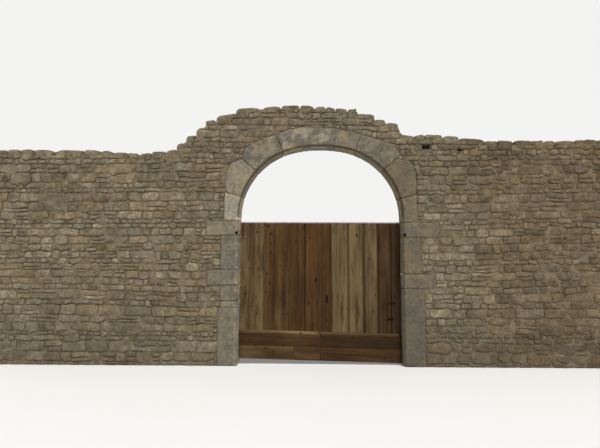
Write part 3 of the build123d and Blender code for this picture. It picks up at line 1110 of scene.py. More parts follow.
@dataclass
class Walling:
    """The rubble of the wall: a mortar core with stones set in every face that shows."""

    core_depth: float = 0.030
    mortar_depth: float = 0.018
    end_depth: float = 0.027
    top_drop: float = 0.1
    skin_drop: float = 0.055
    step_inset: float = 0.04
    face_drop: float = 0.07
    skin_pitch: float = 0.04
    stone_height: Span = (0.013, 0.0235)
    softness: Span = (-0.1, 0.4)
    soft_range: Span = (0.4, 1.8)
    roughness: Layers = ((0.0045, 15, 0), (0.002, 48, 1))
    proudest: float = 0.002
    least: float = 0.001
    lean: float = 0.06
    lean_limit: float = 0.006
    free_slope: Span = (0.05, 0.5)
    edge_slack: float = 0.02
    edge_cells: int = 2
    front_seed: int = 11
    back_seed: int = 23
    end_seed: int = 31
    end_lengths: Span = (0.1, 0.34)
    sharp: float = 62
    front_form: StoneForm = StoneForm(
        22, ((0.0, -0.022), (0.0, 0.011), (0.003, 0.005), (0.012, 0.001)), (0.66, 0.33)
    )
    plain_form: StoneForm = StoneForm(14, ((0.0, -0.022), (0.0, 0.009), (0.008, 0.001)), (0.45,))

    def __post_init__(self) -> None:
        """Reads the wall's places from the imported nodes."""
        boxes = {key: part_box(node) for key, node in RUBBLE_NODES.items()}
        self.half_depth = boxes["left"][1].y
        self.end = boxes["right"][1].x
        self.top = max(high.z for _, high in boxes.values())
        self.jamb_top = max(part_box(f"springer_{side.word}")[1].z for side in Side)
        self.over_half = boxes["over_arch"][1].x
        self.over_low = boxes["over_arch"][0].z

    def build(self, stone: Material, mortar: Material, dressed: Iterable[str]) -> None:
        """Makes the cores, the mortar between the stones, and all the stones.

        Args:
            stone: the stones' finish.
            mortar: the mortar's finish.
            dressed: the nodes of the dressed stones, which the mortar may run behind.
        """
        top_edge = self._cores(mortar)
        level, half = self.half_depth - self.mortar_depth, self.half_depth
        sides = (
            ("front", 1, self.front_seed, self.front_form),
            ("back", -1, self.back_seed, self.plain_form),
        )
        for name, way, seed, form in sides:
            face = WallFace(name, np.array((way, 0, 0)), (-self.end, 0.0), (self.end, self.top), level)
            face.mask = face.covered_by(RUBBLE_NODES.values())
            covered = face.mask | face.covered_by(dressed)
            if name == "front":
                top_line = self._highest(face, covered, top_edge)
            lower = face.below_top(covered, self.skin_drop, self.step_inset, self.jamb_top)
            skin = face.skin(lower, self.skin_pitch, seed)
            add_piece(skin.name, skin, mortar, Body.GATEWAY)
            face.mask &= face.below_top(covered, self.face_drop, self.step_inset / 2, self.jamb_top)
            self._stones(face, Coursing(seed), form, stone)
        for side in Side:
            along, end = np.array((0, side.value, 0)), self.end - self.end_depth
            face = WallFace(f"end_{side.word}", along, (-half, 0.0), (half, self.top), end)
            covered = face.covered_by([RUBBLE_NODES[side.word]])
            face.mask = face.below_top(covered, self.face_drop, self.step_inset / 2, self.jamb_top)
            self._stones(face, Coursing(self.end_seed + side.value, self.end_lengths), self.plain_form, stone)
        Capping(top_line, half, self.end).build(stone)

    def _highest(self, face: WallFace, covered: Array, edge: Array) -> Array:
        """Keeps the points of an edge that have nothing of the wall above them."""
        columns, rows = face.grid()
        top = rows[len(rows) - 1 - np.argmax(covered[::-1], axis=0)]
        near = self.edge_cells
        column = np.clip(np.searchsorted(columns, edge[:, 0]), near, len(columns) - near - 1)
        lowest = np.min([top[column + shift] for shift in range(-near, near + 1)], axis=0)
        return edge[edge[:, 1] > lowest - self.edge_slack]

    def _stones(self, face: WallFace, coursing: Coursing, form: StoneForm, material: Material) -> None:
        """Sets the stones of one face.

        Args:
            face: the face, with its mask.
            coursing: how its stones are laid.
            form: the section of its stones.
            material: their finish.
        """
        rng = np.random.default_rng(coursing.seed + 2)
        middles, outline = coursing.outlines(face, form.corners)
        count = len(middles)
        stand = rng.uniform(*self.stone_height, count)
        soft = np.clip(rng.lognormal(*self.softness, count), *self.soft_range)
        offsets, heights, rim = form.build(outline, stand, soft)
        heights = np.where(heights < 0, heights, np.maximum(heights - form.hew(offsets, rng), self.least))
        lean = rng.normal(0, self.lean, (count, 1, 2))
        tilted = heights + np.clip((offsets * lean).sum(axis=2), -self.lean_limit, self.lean_limit)
        spots = face.place(middles, offsets, tilted).reshape(-1, 3)
        rough = layered(spots, coursing.seed, *self.roughness).reshape(tilted.shape)
        proud = np.minimum(tilted + rough, self.stone_height[1] + self.proudest)
        points = inside_box(face.place(middles, offsets, np.where(heights < 0, heights, proud)))
        # two random looks for each stone, then the weight of the painted shade at its rim
        looks = rng.random((count, 2))
        values = np.concatenate((np.repeat(looks[:, None], rim.shape[1], axis=1), rim[..., None]), axis=2)
        sets, size = form.topology()
        spots = face.place(middles, np.zeros((count, 1, 2)), np.zeros((count, 1)))[:, 0]
        over = (np.abs(spots[:, 0]) < self.over_half) & (spots[:, 2] > self.over_low)
        part = np.where(over, 1, np.where(spots[:, 0] < 0, 0, 2))
        for number, key in enumerate(RUBBLE_NODES):
            chosen = np.nonzero(part == number)[0]
            if len(chosen):
                name = f"stones_{face.name}" if face.name.startswith("end") else f"stones_{face.name}_{key}"
                faces = repeated(sets, len(chosen), size)
                mesh = make_mesh(name, points[chosen].reshape(-1, 3), faces, self.sharp)
                carry(mesh, "stone", values[chosen])
                add_piece(name, mesh, material, Body.GATEWAY)

    def _cores(self, mortar: Material) -> Array:
        """Makes the mortar cores that replace the plain solids.

        Returns:
            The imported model's top edge from left to right, as X and Z.
        """
        edge = set()
        rising, upright = self.free_slope
        for key, node in RUBBLE_NODES.items():
            mesh = NODES[node].data.copy()
            mesh.name = f"mortar_core_{key}"
            corners, normals = triangles(node)
            free = (normals[:, 2] > rising) & (np.abs(normals[:, 1]) < upright)
            free &= corners[..., 2].min(axis=1) > self.jamb_top
            free &= (np.abs(np.abs(corners[..., 1]) - self.half_depth) < HAIR).all(axis=1)
            tops = {tuple(np.round(point, 5)[[0, 2]]) for point in corners[free].reshape(-1, 3)}
            edge |= tops
            for vertex in mesh.vertices:
                if tuple(np.round((vertex.co.x, vertex.co.z), 5)) in tops:
                    vertex.co.z -= self.top_drop
                if abs(abs(vertex.co.y) - self.half_depth) < HAIR:
                    vertex.co.y -= math.copysign(self.core_depth, vertex.co.y)
                if abs(abs(vertex.co.x) - self.end) < HAIR:
                    vertex.co.x -= math.copysign(self.end_depth, vertex.co.x)
            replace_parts(add_piece(mesh.name, mesh, mortar, Body.GATEWAY), node)
        return np.array(sorted(edge))


@dataclass
class Capping:
    """The wall's broken top: big rough stones laid across its thickness, stepping with its outline."""

    line: Array
    half_depth: float
    end: float
    seed: int = 61
    cells: int = 9
    usual: float = 0.27
    spread: float = 0.35
    shortest: float = 0.15
    longest: float = 0.5
    corner_reach: float = 0.12
    step: float = 0.14
    height: Span = (0.115, 0.16)
    spare_height: float = 0.07
    joint: float = 0.008
    inset: float = 0.002
    end_gap: float = 0.05
    face_gap: float = 0.003
    middle_gap: float = 0.004
    end_margin: float = 0.001
    proud: float = 0.004
    whole_share: float = 0.35
    middle: Span = (-0.2, 0.3)
    sink: Span = (0.0, 0.012)
    lean: float = 0.16
    lean_spread: float = 0.015
    squareness: Span = (3.2, 7)
    cuts: int = 7
    cut_bias: Place = (0.9, 0.7, 1.0)
    cut_reach: Span = (0.84, 0.97)
    roughness: Layers = ((0.007, 9, 0), (0.0035, 27, 5))
    # how much painted rim shade the capping stones get all over
    rim: float = 0.25
    sharp: float = 50

    def build(self, material: Material) -> None:
        """Lays the stones from end to end."""
        rng = np.random.default_rng(self.seed)
        shell, quads = self._shell()
        points, looks = [], []
        x = -self.end + self.inset
        while x < self.end - self.end_gap:
            long = self._length(x, rng)
            shares = [(-1.0, 1.0)]
            if rng.random() > self.whole_share:
                middle = rng.uniform(*self.middle)
                shares = [(-1.0, middle), (middle, 1.0)]
            for near, far in shares:
                points.append(self._stone(shell, x, long, near, far, rng))
                looks.append(np.tile((*rng.random(2), self.rim), (len(shell), 1)))
            x += long
        faces = repeated([quads], len(points), len(shell))
        mesh = make_mesh("capping_stones", np.concatenate(points), faces, self.sharp)
        carry(mesh, "stone", np.concatenate(looks))
        add_piece("capping_stones", mesh, material, Body.GATEWAY)

    def _shell(self) -> tuple[Array, Array]:
        """Directions over a cube's surface and the quads between them."""
        shape = bmesh.new()
        bmesh.ops.create_cube(shape, size=2)
        bmesh.ops.subdivide_edges(shape, edges=shape.edges[:], cuts=self.cells - 1, use_grid_fill=True)
        shape.verts.index_update()
        points = np.array([vertex.co for vertex in shape.verts])
        quads = np.array([[vertex.index for vertex in face.verts] for face in shape.faces])
        shape.free()
        return points, quads

    def _level(self, x: float) -> float:
        """Height of the wall's top at a place along it."""
        return float(np.interp(x, self.line[:, 0], self.line[:, 1]))

    def _length(self, x: float, rng: Chance) -> float:
        """Length of the stone that starts here, shorter where the top is steep."""
        long = float(np.clip(rng.lognormal(math.log(self.usual), self.spread), self.shortest, self.longest))
        rise = abs(self._level(x + long) - self._level(x))
        if rise > self.step:
            long = max(self.shortest, long * self.step / rise)
        corners = self.line[:, 0]
        ahead = corners[(corners > x + self.shortest) & (corners < x + long + self.corner_reach)]
        if len(ahead):
            long = float(ahead[0]) - x
        rest = self.end - self.inset - x
        return rest if rest - long < self.shortest else long

    def _stone(self, shell: Array, x: float, long: float, near: float, far: float, rng: Chance) -> Array:
        """Shapes one stone.

        Args:
            shell: directions over a cube.
            x: where the stone starts.
            long: its length along the wall.
            near: its front, as a share of the wall's half thickness.
            far: its back, in the same way.
            rng: the source of chance.

        Returns:
            Its vertices.
        """
        levels = [self._level(x + long * share) for share in (0.25, 0.5, 0.75)]
        climb = levels[2] - levels[0]
        top = sum(levels) / 3 - rng.uniform(*self.sink)
        high = max(rng.uniform(*self.height), abs(climb) * 2 + self.spare_height)
        lean = float(np.clip(climb / long, -self.lean, self.lean)) + rng.normal(0, self.lean_spread)
        depth = (self.half_depth - self.face_gap) * (far - near) / 2
        depth -= self.middle_gap if far - near < 2 else 0
        half = np.array((long / 2 - self.joint / 2, depth, high / 2))
        power = rng.uniform(*self.squareness)
        local = shell * (np.abs(shell) ** power).sum(axis=1, keepdims=True) ** (-1 / power)
        for _ in range(self.cuts):
            normal = rng.normal(0, 1, 3) * self.cut_bias
            normal /= np.linalg.norm(normal)
            reach = (local @ normal).max() * rng.uniform(*self.cut_reach)
            local -= np.maximum(local @ normal - reach, 0)[:, None] * normal
        local *= half
        world = local + np.array((x + long / 2, self.half_depth * (near + far) / 2, top - high / 2))
        rough = [layered(world, self.seed + axis, *self.roughness) for axis in range(3)]
        world += np.stack(rough, axis=1)
        world[:, 2] += local[:, 0] * lean
        limits = np.array((self.end - self.end_margin, self.half_depth + self.proud))
        world[:, :2] = np.clip(world[:, :2], -limits, limits)
        world[:, 2] = np.minimum(world[:, 2], CAD_BOX[1].z - self.end_margin)
        return world


@dataclass(frozen=True)
class StoneLook:
    """How one dressed stone looks: brightness, warm tone, lichen, and a bed joint's height if it has one; on
    the stones to the right the brightness and warm tone also hold painted tree shade.
    """

    tone: float
    warmth: float
    blotch: float
    bed: float | None = None


# the stones to the right are darker and warmer partly by painted tree shade
STONE_LOOKS = {
    "voussoir_1": StoneLook(0.54, 0.55, 0.2),
    "voussoir_2": StoneLook(0.76, 0.35, 0.8),
    "voussoir_3": StoneLook(0.78, 0.4, 0.3),
    "voussoir_4": StoneLook(1.0, 0.15, 1.0),
    "voussoir_5": StoneLook(0.8, 0.2, 0.8),
    "voussoir_6": StoneLook(0.78, 0.15, 0.3),
    "springer_left": StoneLook(1.12, 0.1, 0.1),
    "springer_right": StoneLook(0.62, 0.6, 0.2),
    "jamb_left_6": StoneLook(0.74, 0.3, 0.6),
    "jamb_left_5": StoneLook(0.64, 0.2, 0.6),
    "jamb_left_4": StoneLook(0.64, 0.2, 0.5),
    "jamb_left_3": StoneLook(0.62, 0.05, 0.5),
    "jamb_left_2": StoneLook(0.68, 0.1, 0.4),
    "jamb_left_1": StoneLook(0.54, -0.3, 0.3, 0.642),
    "jamb_right_4": StoneLook(0.60, 0.5, 0.6),
    "jamb_right_3": StoneLook(0.54, 0.55, 0.3),
    "jamb_right_2": StoneLook(0.56, 0.45, 0.4),
    "jamb_right_1": StoneLook(0.44, 0.3, 0.3, 0.58),
}


@dataclass(frozen=True)
class InnerShade:
    """Painted light and shade on the stones' chamfer, soffit, reveals and sockets, as they differ from their
    front.
    """

    chamfer_slope: float = 0.68
    chamfer_band: float = 0.26
    chamfer_full: float = 1.25
    soffit_band: float = 0.3
    inward_gain: float = 1.6
    right_jamb: float = 0.3
    arris_dark: float = 0.72
    arris_warm: float = 0.5
    soffit_bright: float = 0.12
    soffit_warm: float = 0.35
    hollow_dark: float = 0.85
    reveal_left: float = 1.2
    reveal_right: float = 0.3

    def apply(self, values: Array, mesh: Mesh, socket: Array | None) -> None:
        """Paints light and shade into the brightness and warm tone of a stone's vertices.

        Args:
            values: the stone's look at each vertex.
            mesh: the stone.
            socket: the low and high corner of its socket's floor, if it has one.
        """
        normals, places = read(mesh.vertices, "normal"), read(mesh.vertices, "co")
        outwards = places[:, [0, 2]] - (0, SPRINGING)
        above = outwards[:, 1] > 0
        outwards[:, 1] = np.maximum(outwards[:, 1], 0)
        outwards /= np.maximum(np.linalg.norm(outwards, axis=1, keepdims=True), TINY)
        inner = np.clip(-(normals[:, [0, 2]] * outwards).sum(axis=1) * self.inward_gain, 0, 1)
        front = -normals[:, 1]
        chamfer = np.clip(self.chamfer_full - np.abs(front - self.chamfer_slope) / self.chamfer_band, 0, 1)
        under = np.clip(1 - np.abs(front) / self.soffit_band, 0, 1) * inner
        hollow = np.zeros(len(places))
        if socket is not None:
            within = (places > socket[0] - SOCKET_SLACK) & (places < socket[1] + SOCKET_SLACK)
            hollow[within.all(axis=1)] = 1
        # painted shade darkens and warms the arris, most on the arch, and darkens the socket's floor; painted
        # light brightens and warms the soffit and brightens the reveals
        arris = chamfer * inner * np.where(above, 1, self.right_jamb * (places[:, 0] > 0))
        soffit, reveal = under * above, inner * (~above) * (1 - chamfer)
        bright = self.reveal_left if places[:, 0].min() < 0 else self.reveal_right
        lit = 1 - self.arris_dark * arris + self.soffit_bright * soffit + bright * reveal
        values[:, 0] *= lit * (1 - self.hollow_dark * hollow)
        values[:, 1] += self.arris_warm * arris + self.soffit_warm * soffit


@dataclass
class ArchMasonry:
    """The dressed stones of the jambs and the arch, worn at their edges and pointed with mortar."""

    voxel: float = 0.0138
    fine_voxel: float = 0.0095
    socketed: tuple[str, ...] = ("jamb_left_6", "jamb_right_4")
    rounding: int = 2
    relax: float = 0.6
    edge_share: float = 98
    chip: float = 0.011
    chipping: Layers = ((1.4, 14, 0), (0.6, 33, 3))
    sound: float = 0.35
    swell: float = 0.0028
    dents: Layers = ((0.6, 5, 5), (0.3, 19, 7), (0.15, 60, 9))
    dent_level: float = 0.6
    pointing_depth: float = 0.006
    arris_depth: float = 0.014
    joint_gap: float = 0.0025
    foot: float = 0.06
    socket_depth: float = 0.05
    socket_margin: float = 0.01
    cutter_depth: float = 0.1
    lift: float = 0.0006
    open_reach: float = 0.06
    same_way: float = 0.95
    parallel: float = 0.3
    sharp: float = 65

    def build(self, stone: Material, mortar: Material) -> None:
        """Makes each worn stone and the pointing between them."""
        shade = InnerShade()
        for number, (node, look) in enumerate(STONE_LOOKS.items()):
            socket = self._socket(node) if node in self.socketed else None
            mesh = self._worn(node, look, number, socket)
            values = np.tile((look.tone, look.warmth, look.blotch), (len(mesh.vertices), 1))
            # paints light and shade into the chamfer, soffit, reveals and socket
            shade.apply(values, mesh, socket)
            carry(mesh, "stone", values)
            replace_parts(add_piece(f"worn_{node}", mesh, stone, Body.GATEWAY), node)
        add_piece("joint_pointing", self._pointing(), mortar, Body.GATEWAY)

    def _socket(self, node: str) -> Array:
        """Finds the small socket in a stone's front, as the low and high corner of its floor."""
        low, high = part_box(node)
        points = np.array([vertex.co for vertex in NODES[node].data.vertices])
        floor = (points[:, 1] > low.y + self.socket_depth) & (points[:, 1] < 0)
        floor &= (points[:, 2] > low.z + self.socket_margin) & (points[:, 2] < high.z - self.socket_margin)
        return np.array((points[floor].min(axis=0), points[floor].max(axis=0)))

    def _worn(self, node: str, look: StoneLook, seed: int, socket: Array | None) -> Mesh:
        """Remeshes a stone finely, rounds its edges, chips them and roughens its faces.

        Args:
            node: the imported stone.
            look: how it looks.
            seed: picks its chips.
            socket: the low and high corner of its socket's floor, if it has one.

        Returns:
            The worn stone.
        """
        shape = welded(node)
        if look.bed is not None:
            self._part_bed(shape, look.bed)
        if socket is not None:
            self._fill(shape, socket)
        voxel = self.voxel if socket is None else self.fine_voxel
        mesh = modified(finished(shape, node), "REMESH", mode="VOXEL", voxel_size=voxel)
        self._weather(mesh, seed)
        return smoothed(mesh if socket is None else self._cut(mesh, socket), self.sharp)

    @staticmethod
    def _fill(shape: BMesh, socket: Array) -> None:
        """Closes a socket, so that the finer mesh and the wear pass over it."""
        low, high = socket[0] - HAIR, socket[1] + HAIR
        inside = [
            face
            for face in shape.faces
            if all(
                low[0] < v.co.x < high[0] and low[2] < v.co.z < high[2] and v.co.y < high[1]
                for v in face.verts
            )
        ]
        bmesh.ops.delete(shape, geom=inside, context="FACES")
        bmesh.ops.holes_fill(shape, edges=[edge for edge in shape.edges if edge.is_boundary], sides=0)

    def _cut(self, mesh: Mesh, socket: Array) -> Mesh:
        """Cuts the socket with crisp edges into the worn stone."""
        shape = bmesh.new()
        bmesh.ops.create_cube(shape, size=1)
        low, high = socket + np.outer((1, -1), (SOCKET_SLACK, 0, SOCKET_SLACK))
        for vertex in shape.verts:
            vertex.co.x = low[0] + (vertex.co.x + 0.5) * (high[0] - low[0])
            vertex.co.y = low[1] + (vertex.co.y - 0.5) * self.cutter_depth
            vertex.co.z = low[2] + (vertex.co.z + 0.5) * (high[2] - low[2])
        block = finished(shape, "cutter")
        cutter = bpy.data.objects.new("cutter", block)
        bpy.context.scene.collection.objects.link(cutter)
        result = modified(mesh, "BOOLEAN", operation="DIFFERENCE", object=cutter, solver="EXACT")
        bpy.data.objects.remove(cutter)
        bpy.data.meshes.remove(block)
        return result

    def _part_bed(self, shape: BMesh, height: float) -> None:
        """Parts a tall stone in two at a bed joint."""
        for side, half in ((1, shape.copy()), (-1, shape)):
            cut = bmesh.ops.bisect_plane(
                half,
                geom=[*half.verts, *half.edges, *half.faces],
                plane_co=(0, 0, height + side * self.joint_gap),
                plane_no=(0, 0, -side),
                clear_outer=True,
            )
            edges = [item for item in cut["geom_cut"] if isinstance(item, BMEdge)]
            bmesh.ops.contextual_create(half, geom=edges)
            if side == 1:
                upper = finished(half, "upper")
        shape.from_mesh(upper)
        bpy.data.meshes.remove(upper)

    def _weather(self, mesh: Mesh, seed: int) -> None:
        """Rounds, chips and roughens a finely meshed stone."""
        count = len(mesh.vertices)
        points = read(mesh.vertices, "co").astype(float)
        ends = read(mesh.edges, "vertices", 2, np.int32)
        near, across = ends.ravel(), ends[:, ::-1].ravel()
        share = 1 / np.maximum(np.bincount(near, minlength=count), 1)
        sharp = points.copy()
        held = np.clip(sharp[:, 2] / self.foot, 0, 1)[:, None]
        for _ in range(self.rounding):
            total = np.stack([np.bincount(near, points[across, i], count) for i in range(3)], axis=1)
            points += self.relax * (total * share[:, None] - points) * held
        inward = points - sharp
        length = np.linalg.norm(inward, axis=1)
        edge = np.clip(length / max(np.percentile(length, self.edge_share), TINY), 0, 1)
        broken = np.clip(layered(sharp, seed, *self.chipping) - self.sound, 0, 1)
        points += inward / np.maximum(length, TINY)[:, None] * (edge * broken * self.chip)[:, None]
        move(mesh, points)
        height = layered(sharp, seed, *self.dents) - self.dent_level
        points += read(mesh.vertices, "normal") * (height * self.swell)[:, None]
        move(mesh, inside_box(points))

    def _pointing(self) -> Mesh:
        """Mortar behind the joints: every dressed stone, set back where it meets the air."""
        tree = self._tree()
        joined = bmesh.new()
        for node in STONE_LOOKS:
            shape = welded(node)
            shape.normal_update()
            open_faces = {face.index: self._meets_air(tree, face) for face in shape.faces}
            moved = {vertex: self._set_back(vertex, open_faces) for vertex in shape.verts}
            for vertex, shift in moved.items():
                vertex.co += shift
            mesh = finished(shape, node)
            joined.from_mesh(mesh)
            bpy.data.meshes.remove(mesh)
        return finished(joined, "joint_pointing")

    @staticmethod
    def _tree() -> BVHTree:
        """Search tree of all the stonework as packed."""
        points, faces = [], []
        for node in [*STONE_LOOKS, *RUBBLE_NODES.values()]:
            start = len(points)
            points += [vertex.co.copy() for vertex in NODES[node].data.vertices]
            faces += [[index + start for index in face.vertices] for face in NODES[node].data.polygons]
        return BVHTree.FromPolygons(points, faces)

    def _meets_air(self, tree: BVHTree, face: BMFace) -> bool:
        """Tells whether a face of a stone looks into the air and not into another stone."""
        start = face.calc_center_median() + face.normal * self.lift
        place, normal, _, far = tree.ray_cast(start, face.normal)
        return place is None or (far > self.open_reach and normal.dot(face.normal) < 0)

    def _set_back(self, vertex: BMVert, open_faces: dict[int, bool]) -> Vector:
        """How a vertex moves so that the open faces go back and the joints stay in their planes."""
        airy = [face.normal for face in vertex.link_faces if open_faces[face.index]]
        arris = any(first.dot(second) < self.same_way for first in airy for second in airy)
        depth = self.arris_depth if arris else self.pointing_depth
        rows = np.array([tuple(face.normal) for face in vertex.link_faces])
        goals = np.array([-depth if open_faces[face.index] else 0.0 for face in vertex.link_faces])
        return Vector(np.linalg.lstsq(rows, goals, rcond=self.parallel)[0])


@dataclass(frozen=True)
class BoardLook:
    """How one board differs from the others: greyness from 0 to 1, and brightness."""

    grey: float
    level: float


NO_KNOT = (9.0, 9.0, 0.01)


@dataclass
class Timber:
    """A sawn board and its place in the tree, with axes across, through and along the grain."""

    shape: BMesh
    axes: Array
    start: Array
    shift: Array
    seed: float
    knots: list[Array]
    look: BoardLook


@dataclass
class Joinery:
    """Turns the plain solids of a timber node into sawn boards with grain, worn edges, greyness and knots,
    painted shade on their recessed lips and splits, and a painted highlight on the top kick board's upper
    edge.
    """

    side: Side
    knots: tuple[Place, ...]
    tree: Place = (0.4, 0.1, 3.0)
    seeds: float = 40
    arris: float = 0.0025
    arris_turn: float = 0.3
    pitch: float = 0.09
    cross_pitch: float = 0.07
    knot_gap: float = 0.12
    knots_a_metre: float = 2.6
    small_knot: Span = (0.0035, 0.011)
    # brightness left on the recessed lips: painted shade
    groove_shade: float = 0.62
    groove_depth: Span = (0.008, 0.004)
    meeting: float = 0.02
    closing: float = 0.0028
    closing_back: float = 0.00399
    heel: float = 1.36
    swollen: float = 0.0003
    splits: tuple[Place, ...] = ((1.2198, 0.004, 0.014),)
    # brightness left on the lip beside a split: painted shade
    split_dark: float = 0.3
    split_edge: float = 0.0045
    split_reach: float = 0.02
    # painted highlight on the top kick board's upper edge: depth, greyness and brightness
    crest: Place = (0.035, 0.8, 1.75)
    crest_slack: float = 0.02
    sharp: float = 40

    def build(self, part: str, looks: tuple[BoardLook, ...], material: Material, seed: int) -> None:
        """Makes the boards of one node.

        Args:
            part: the node's name without its side.
            looks: one look for each board from the heel to the meeting edge, or one for all.
            material: the wood's finish.
            seed: picks the grain.
        """
        node = f"{part}_{self.side.word}"
        rng = np.random.default_rng(seed)
        boards = sorted(solids(node), key=self._order)
        summit = max(extent(board)[1][2] for board in boards)
        joined = bmesh.new()
        for key in ("grain", "board"):
            joined.verts.layers.float_vector.new(key)
        joined.faces.layers.float_vector.new("knot")
        for number, board in enumerate(boards):
            self._saw(board, part == "boards")
            axes, start = self._axes(board)
            shift = rng.uniform(0, 1, 3) * self.tree
            own = float(rng.uniform(0, self.seeds))
            knots = self._knots(board, axes, start, rng)
            timber = Timber(board, axes, start, shift, own, knots, looks[min(number, len(looks) - 1)])
            crested = part == "kick_boards" and extent(board)[1][2] > summit - self.crest_slack
            self._copy(timber, joined, part == "boards", crested)
            board.free()
        mesh = smoothed(finished(joined, f"planks_{node}"), self.sharp)
        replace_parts(add_piece(f"planks_{node}", mesh, material, self.side.body), node)

    @staticmethod
    def _order(board: BMesh) -> tuple[float, float]:
        """Sorts boards from the heel to the meeting edge, and from the foot up."""
        middle = sum((vertex.co for vertex in board.verts), Vector()) / len(board.verts)
        return (-round(abs(middle.x), 1), middle.z)

    @staticmethod
    def _axes(board: BMesh) -> tuple[Array, Array]:
        """A board's axes across, through and along its grain, and its middle."""
        longest = max(board.edges, key=lambda edge: edge.calc_length())
        along = (longest.verts[1].co - longest.verts[0].co).normalized()
        along = along if along.x + along.z > 0 else -along
        through = Vector((0, 1, 0))
        return np.array((through.cross(along), through, along)), sum(extent(board)) / 2

    def _saw(self, board: BMesh, jointed: bool) -> None:
        """Eases a board's edges and cuts its faces for the greyness, the painted shade and highlight, and the
        knots.

        Args:
            board: the board's own mesh, as packed.
            jointed: whether its edges swell against its neighbours.
        """
        low, high = extent(board)
        for vertex in board.verts:
            x = vertex.co.x
            if abs(x) < self.meeting:
                back = jointed and vertex.co.y > (low[1] + high[1]) / 2
                vertex.co.x -= math.copysign(self.closing_back if back else self.closing, x)
            elif jointed and high[0] - HAIR < x < self.heel:
                vertex.co.x += self.swollen
            elif jointed and -self.heel < x < low[0] + HAIR:
                vertex.co.x -= self.swollen
        self._open_splits(board)
        board.normal_update()
        axes, start = self._axes(board)
        ease(board, self.arris, self.arris_turn)
        points = np.array([vertex.co for vertex in board.verts]) - start
        for axis, pitch in ((axes[2], self.pitch), (axes[0], self.cross_pitch)):
            reach = points @ axis
            count = max(2, round((reach.max() - reach.min()) / pitch))
            for cut in np.linspace(reach.min(), reach.max(), count + 1)[1:-1]:
                score(board, Vector(start + axis * cut), Vector(axis))

    def _open_splits(self, board: BMesh) -> None:
        """Draws a board's front edge back along a worn seam, wider towards the foot."""
        low, high = extent(board)
        for seam, top, foot in self.splits:
            for vertex in board.verts:
                if 0 < vertex.co.x - seam < self.split_edge and vertex.co.y < low[1] + self.split_reach:
                    vertex.co.x += foot + (top - foot) * (vertex.co.z - low[2]) / (high[2] - low[2])

    def _knots(self, board: BMesh, axes: Array, start: Array, rng: Chance) -> list[Array]:
        """Places a board's knots: those that are given, and a few small ones between."""
        low, high = extent(board)
        found = [
            np.array((x, start[1], z, size))
            for x, z, size in self.knots
            if low[0] < x < high[0] and low[2] < z < high[2]
        ]
        for _ in range(int((high - low).max() * self.knots_a_metre)):
            spot = np.array((rng.uniform(low[0], high[0]), start[1], rng.uniform(low[2], high[2])))
            size = rng.uniform(*self.small_knot)
            if all(np.linalg.norm(spot - knot[:3]) > self.knot_gap for knot in found):
                found.append(np.array((*spot, size)))
        return [np.array((*((knot[:3] - start) @ axes.T), knot[3])) for knot in found]

    def _copy(self, timber: Timber, joined: BMesh, grooved: bool, crested: bool) -> None:
        """Adds a board to the joined mesh with its grain and knots.

        Args:
            timber: the board.
            joined: the mesh that gathers the boards.
            grooved: whether the board's recessed lip gets painted shade, near black beside a split.
            crested: whether its top edge gets a painted highlight, paler and lighter.
        """
        grain, weathering_and_light = (joined.verts.layers.float_vector[key] for key in ("grain", "board"))
        nearest_knot = joined.faces.layers.float_vector["knot"]
        low, high = extent(timber.shape)
        crest_depth, crest_grey, crest_level = self.crest
        twins, shift = {}, timber.shift
        for vertex in timber.shape.verts:
            twin = twins[vertex] = joined.verts.new(vertex.co)
            twin[grain] = Vector(timber.axes @ (np.array(vertex.co) - timber.start) + shift)
            grey, level = timber.look.grey, timber.look.level
            # painted shade on the recessed lip, near black beside a split
            if grooved and low[1] + self.groove_depth[0] < vertex.co.y < high[1] - self.groove_depth[1]:
                split = any(abs(vertex.co.x - seam) < self.split_reach for seam, _, _ in self.splits)
                level *= self.split_dark if split else self.groove_shade
            # painted highlight along the top kick board's upper edge
            if crested and vertex.co.z > high[2] - crest_depth:
                grey, level = max(grey, crest_grey), timber.look.level * crest_level
            twin[weathering_and_light] = Vector((grey, level, timber.seed))
        for face in timber.shape.faces:
            twin = joined.faces.new([twins[vertex] for vertex in face.verts])
            spot = timber.axes @ (np.array(face.calc_center_median()) - timber.start)
            nearest = min(
                timber.knots, key=lambda knot: np.hypot(knot[0] - spot[0], knot[2] - spot[2]), default=None
            )
            if nearest is None:
                twin[nearest_knot] = Vector(NO_KNOT)
            else:
                twin[nearest_knot] = Vector((nearest[0] + shift[0], nearest[2] + shift[2], nearest[3]))


@dataclass
class Heads:
    """Round heads of nails, screws or bolts, joined into one mesh."""

    radius: float
    height: float
    corners: int = 10
    rings: tuple[tuple[float, float], ...] = ((0.9, -0.3), (1.0, 0.25), (0.82, 0.7), (0.42, 1.0))
    spots: list[tuple[float, float, float, int]] = field(default_factory=list)

    def add(self, x: float, y: float, z: float, way: int) -> None:
        """Adds a head that looks along +Y or -Y, as the sign of the last value says."""
        self.spots.append((x, y, z, way))

    def build(self, name: str, material: Material, body: Body) -> None:
        """Makes the joined mesh and puts it on a body."""
        turn = np.arange(self.corners) * 2 * math.pi / self.corners
        one = np.array(
            [
                (wide * self.radius * math.cos(at), -out * self.height, wide * self.radius * math.sin(at))
                for wide, out in self.rings
                for at in turn
            ]
        )
        places = np.array([spot[:3] for spot in self.spots])
        ways = np.array([(-spot[3], -spot[3], 1) for spot in self.spots])
        points = (one[None] * ways[:, None] + places[:, None]).reshape(-1, 3)
        faces = repeated(tube(self.corners, len(self.rings)), len(self.spots), len(one))
        add_piece(name, make_mesh(name, points, faces), material, body)


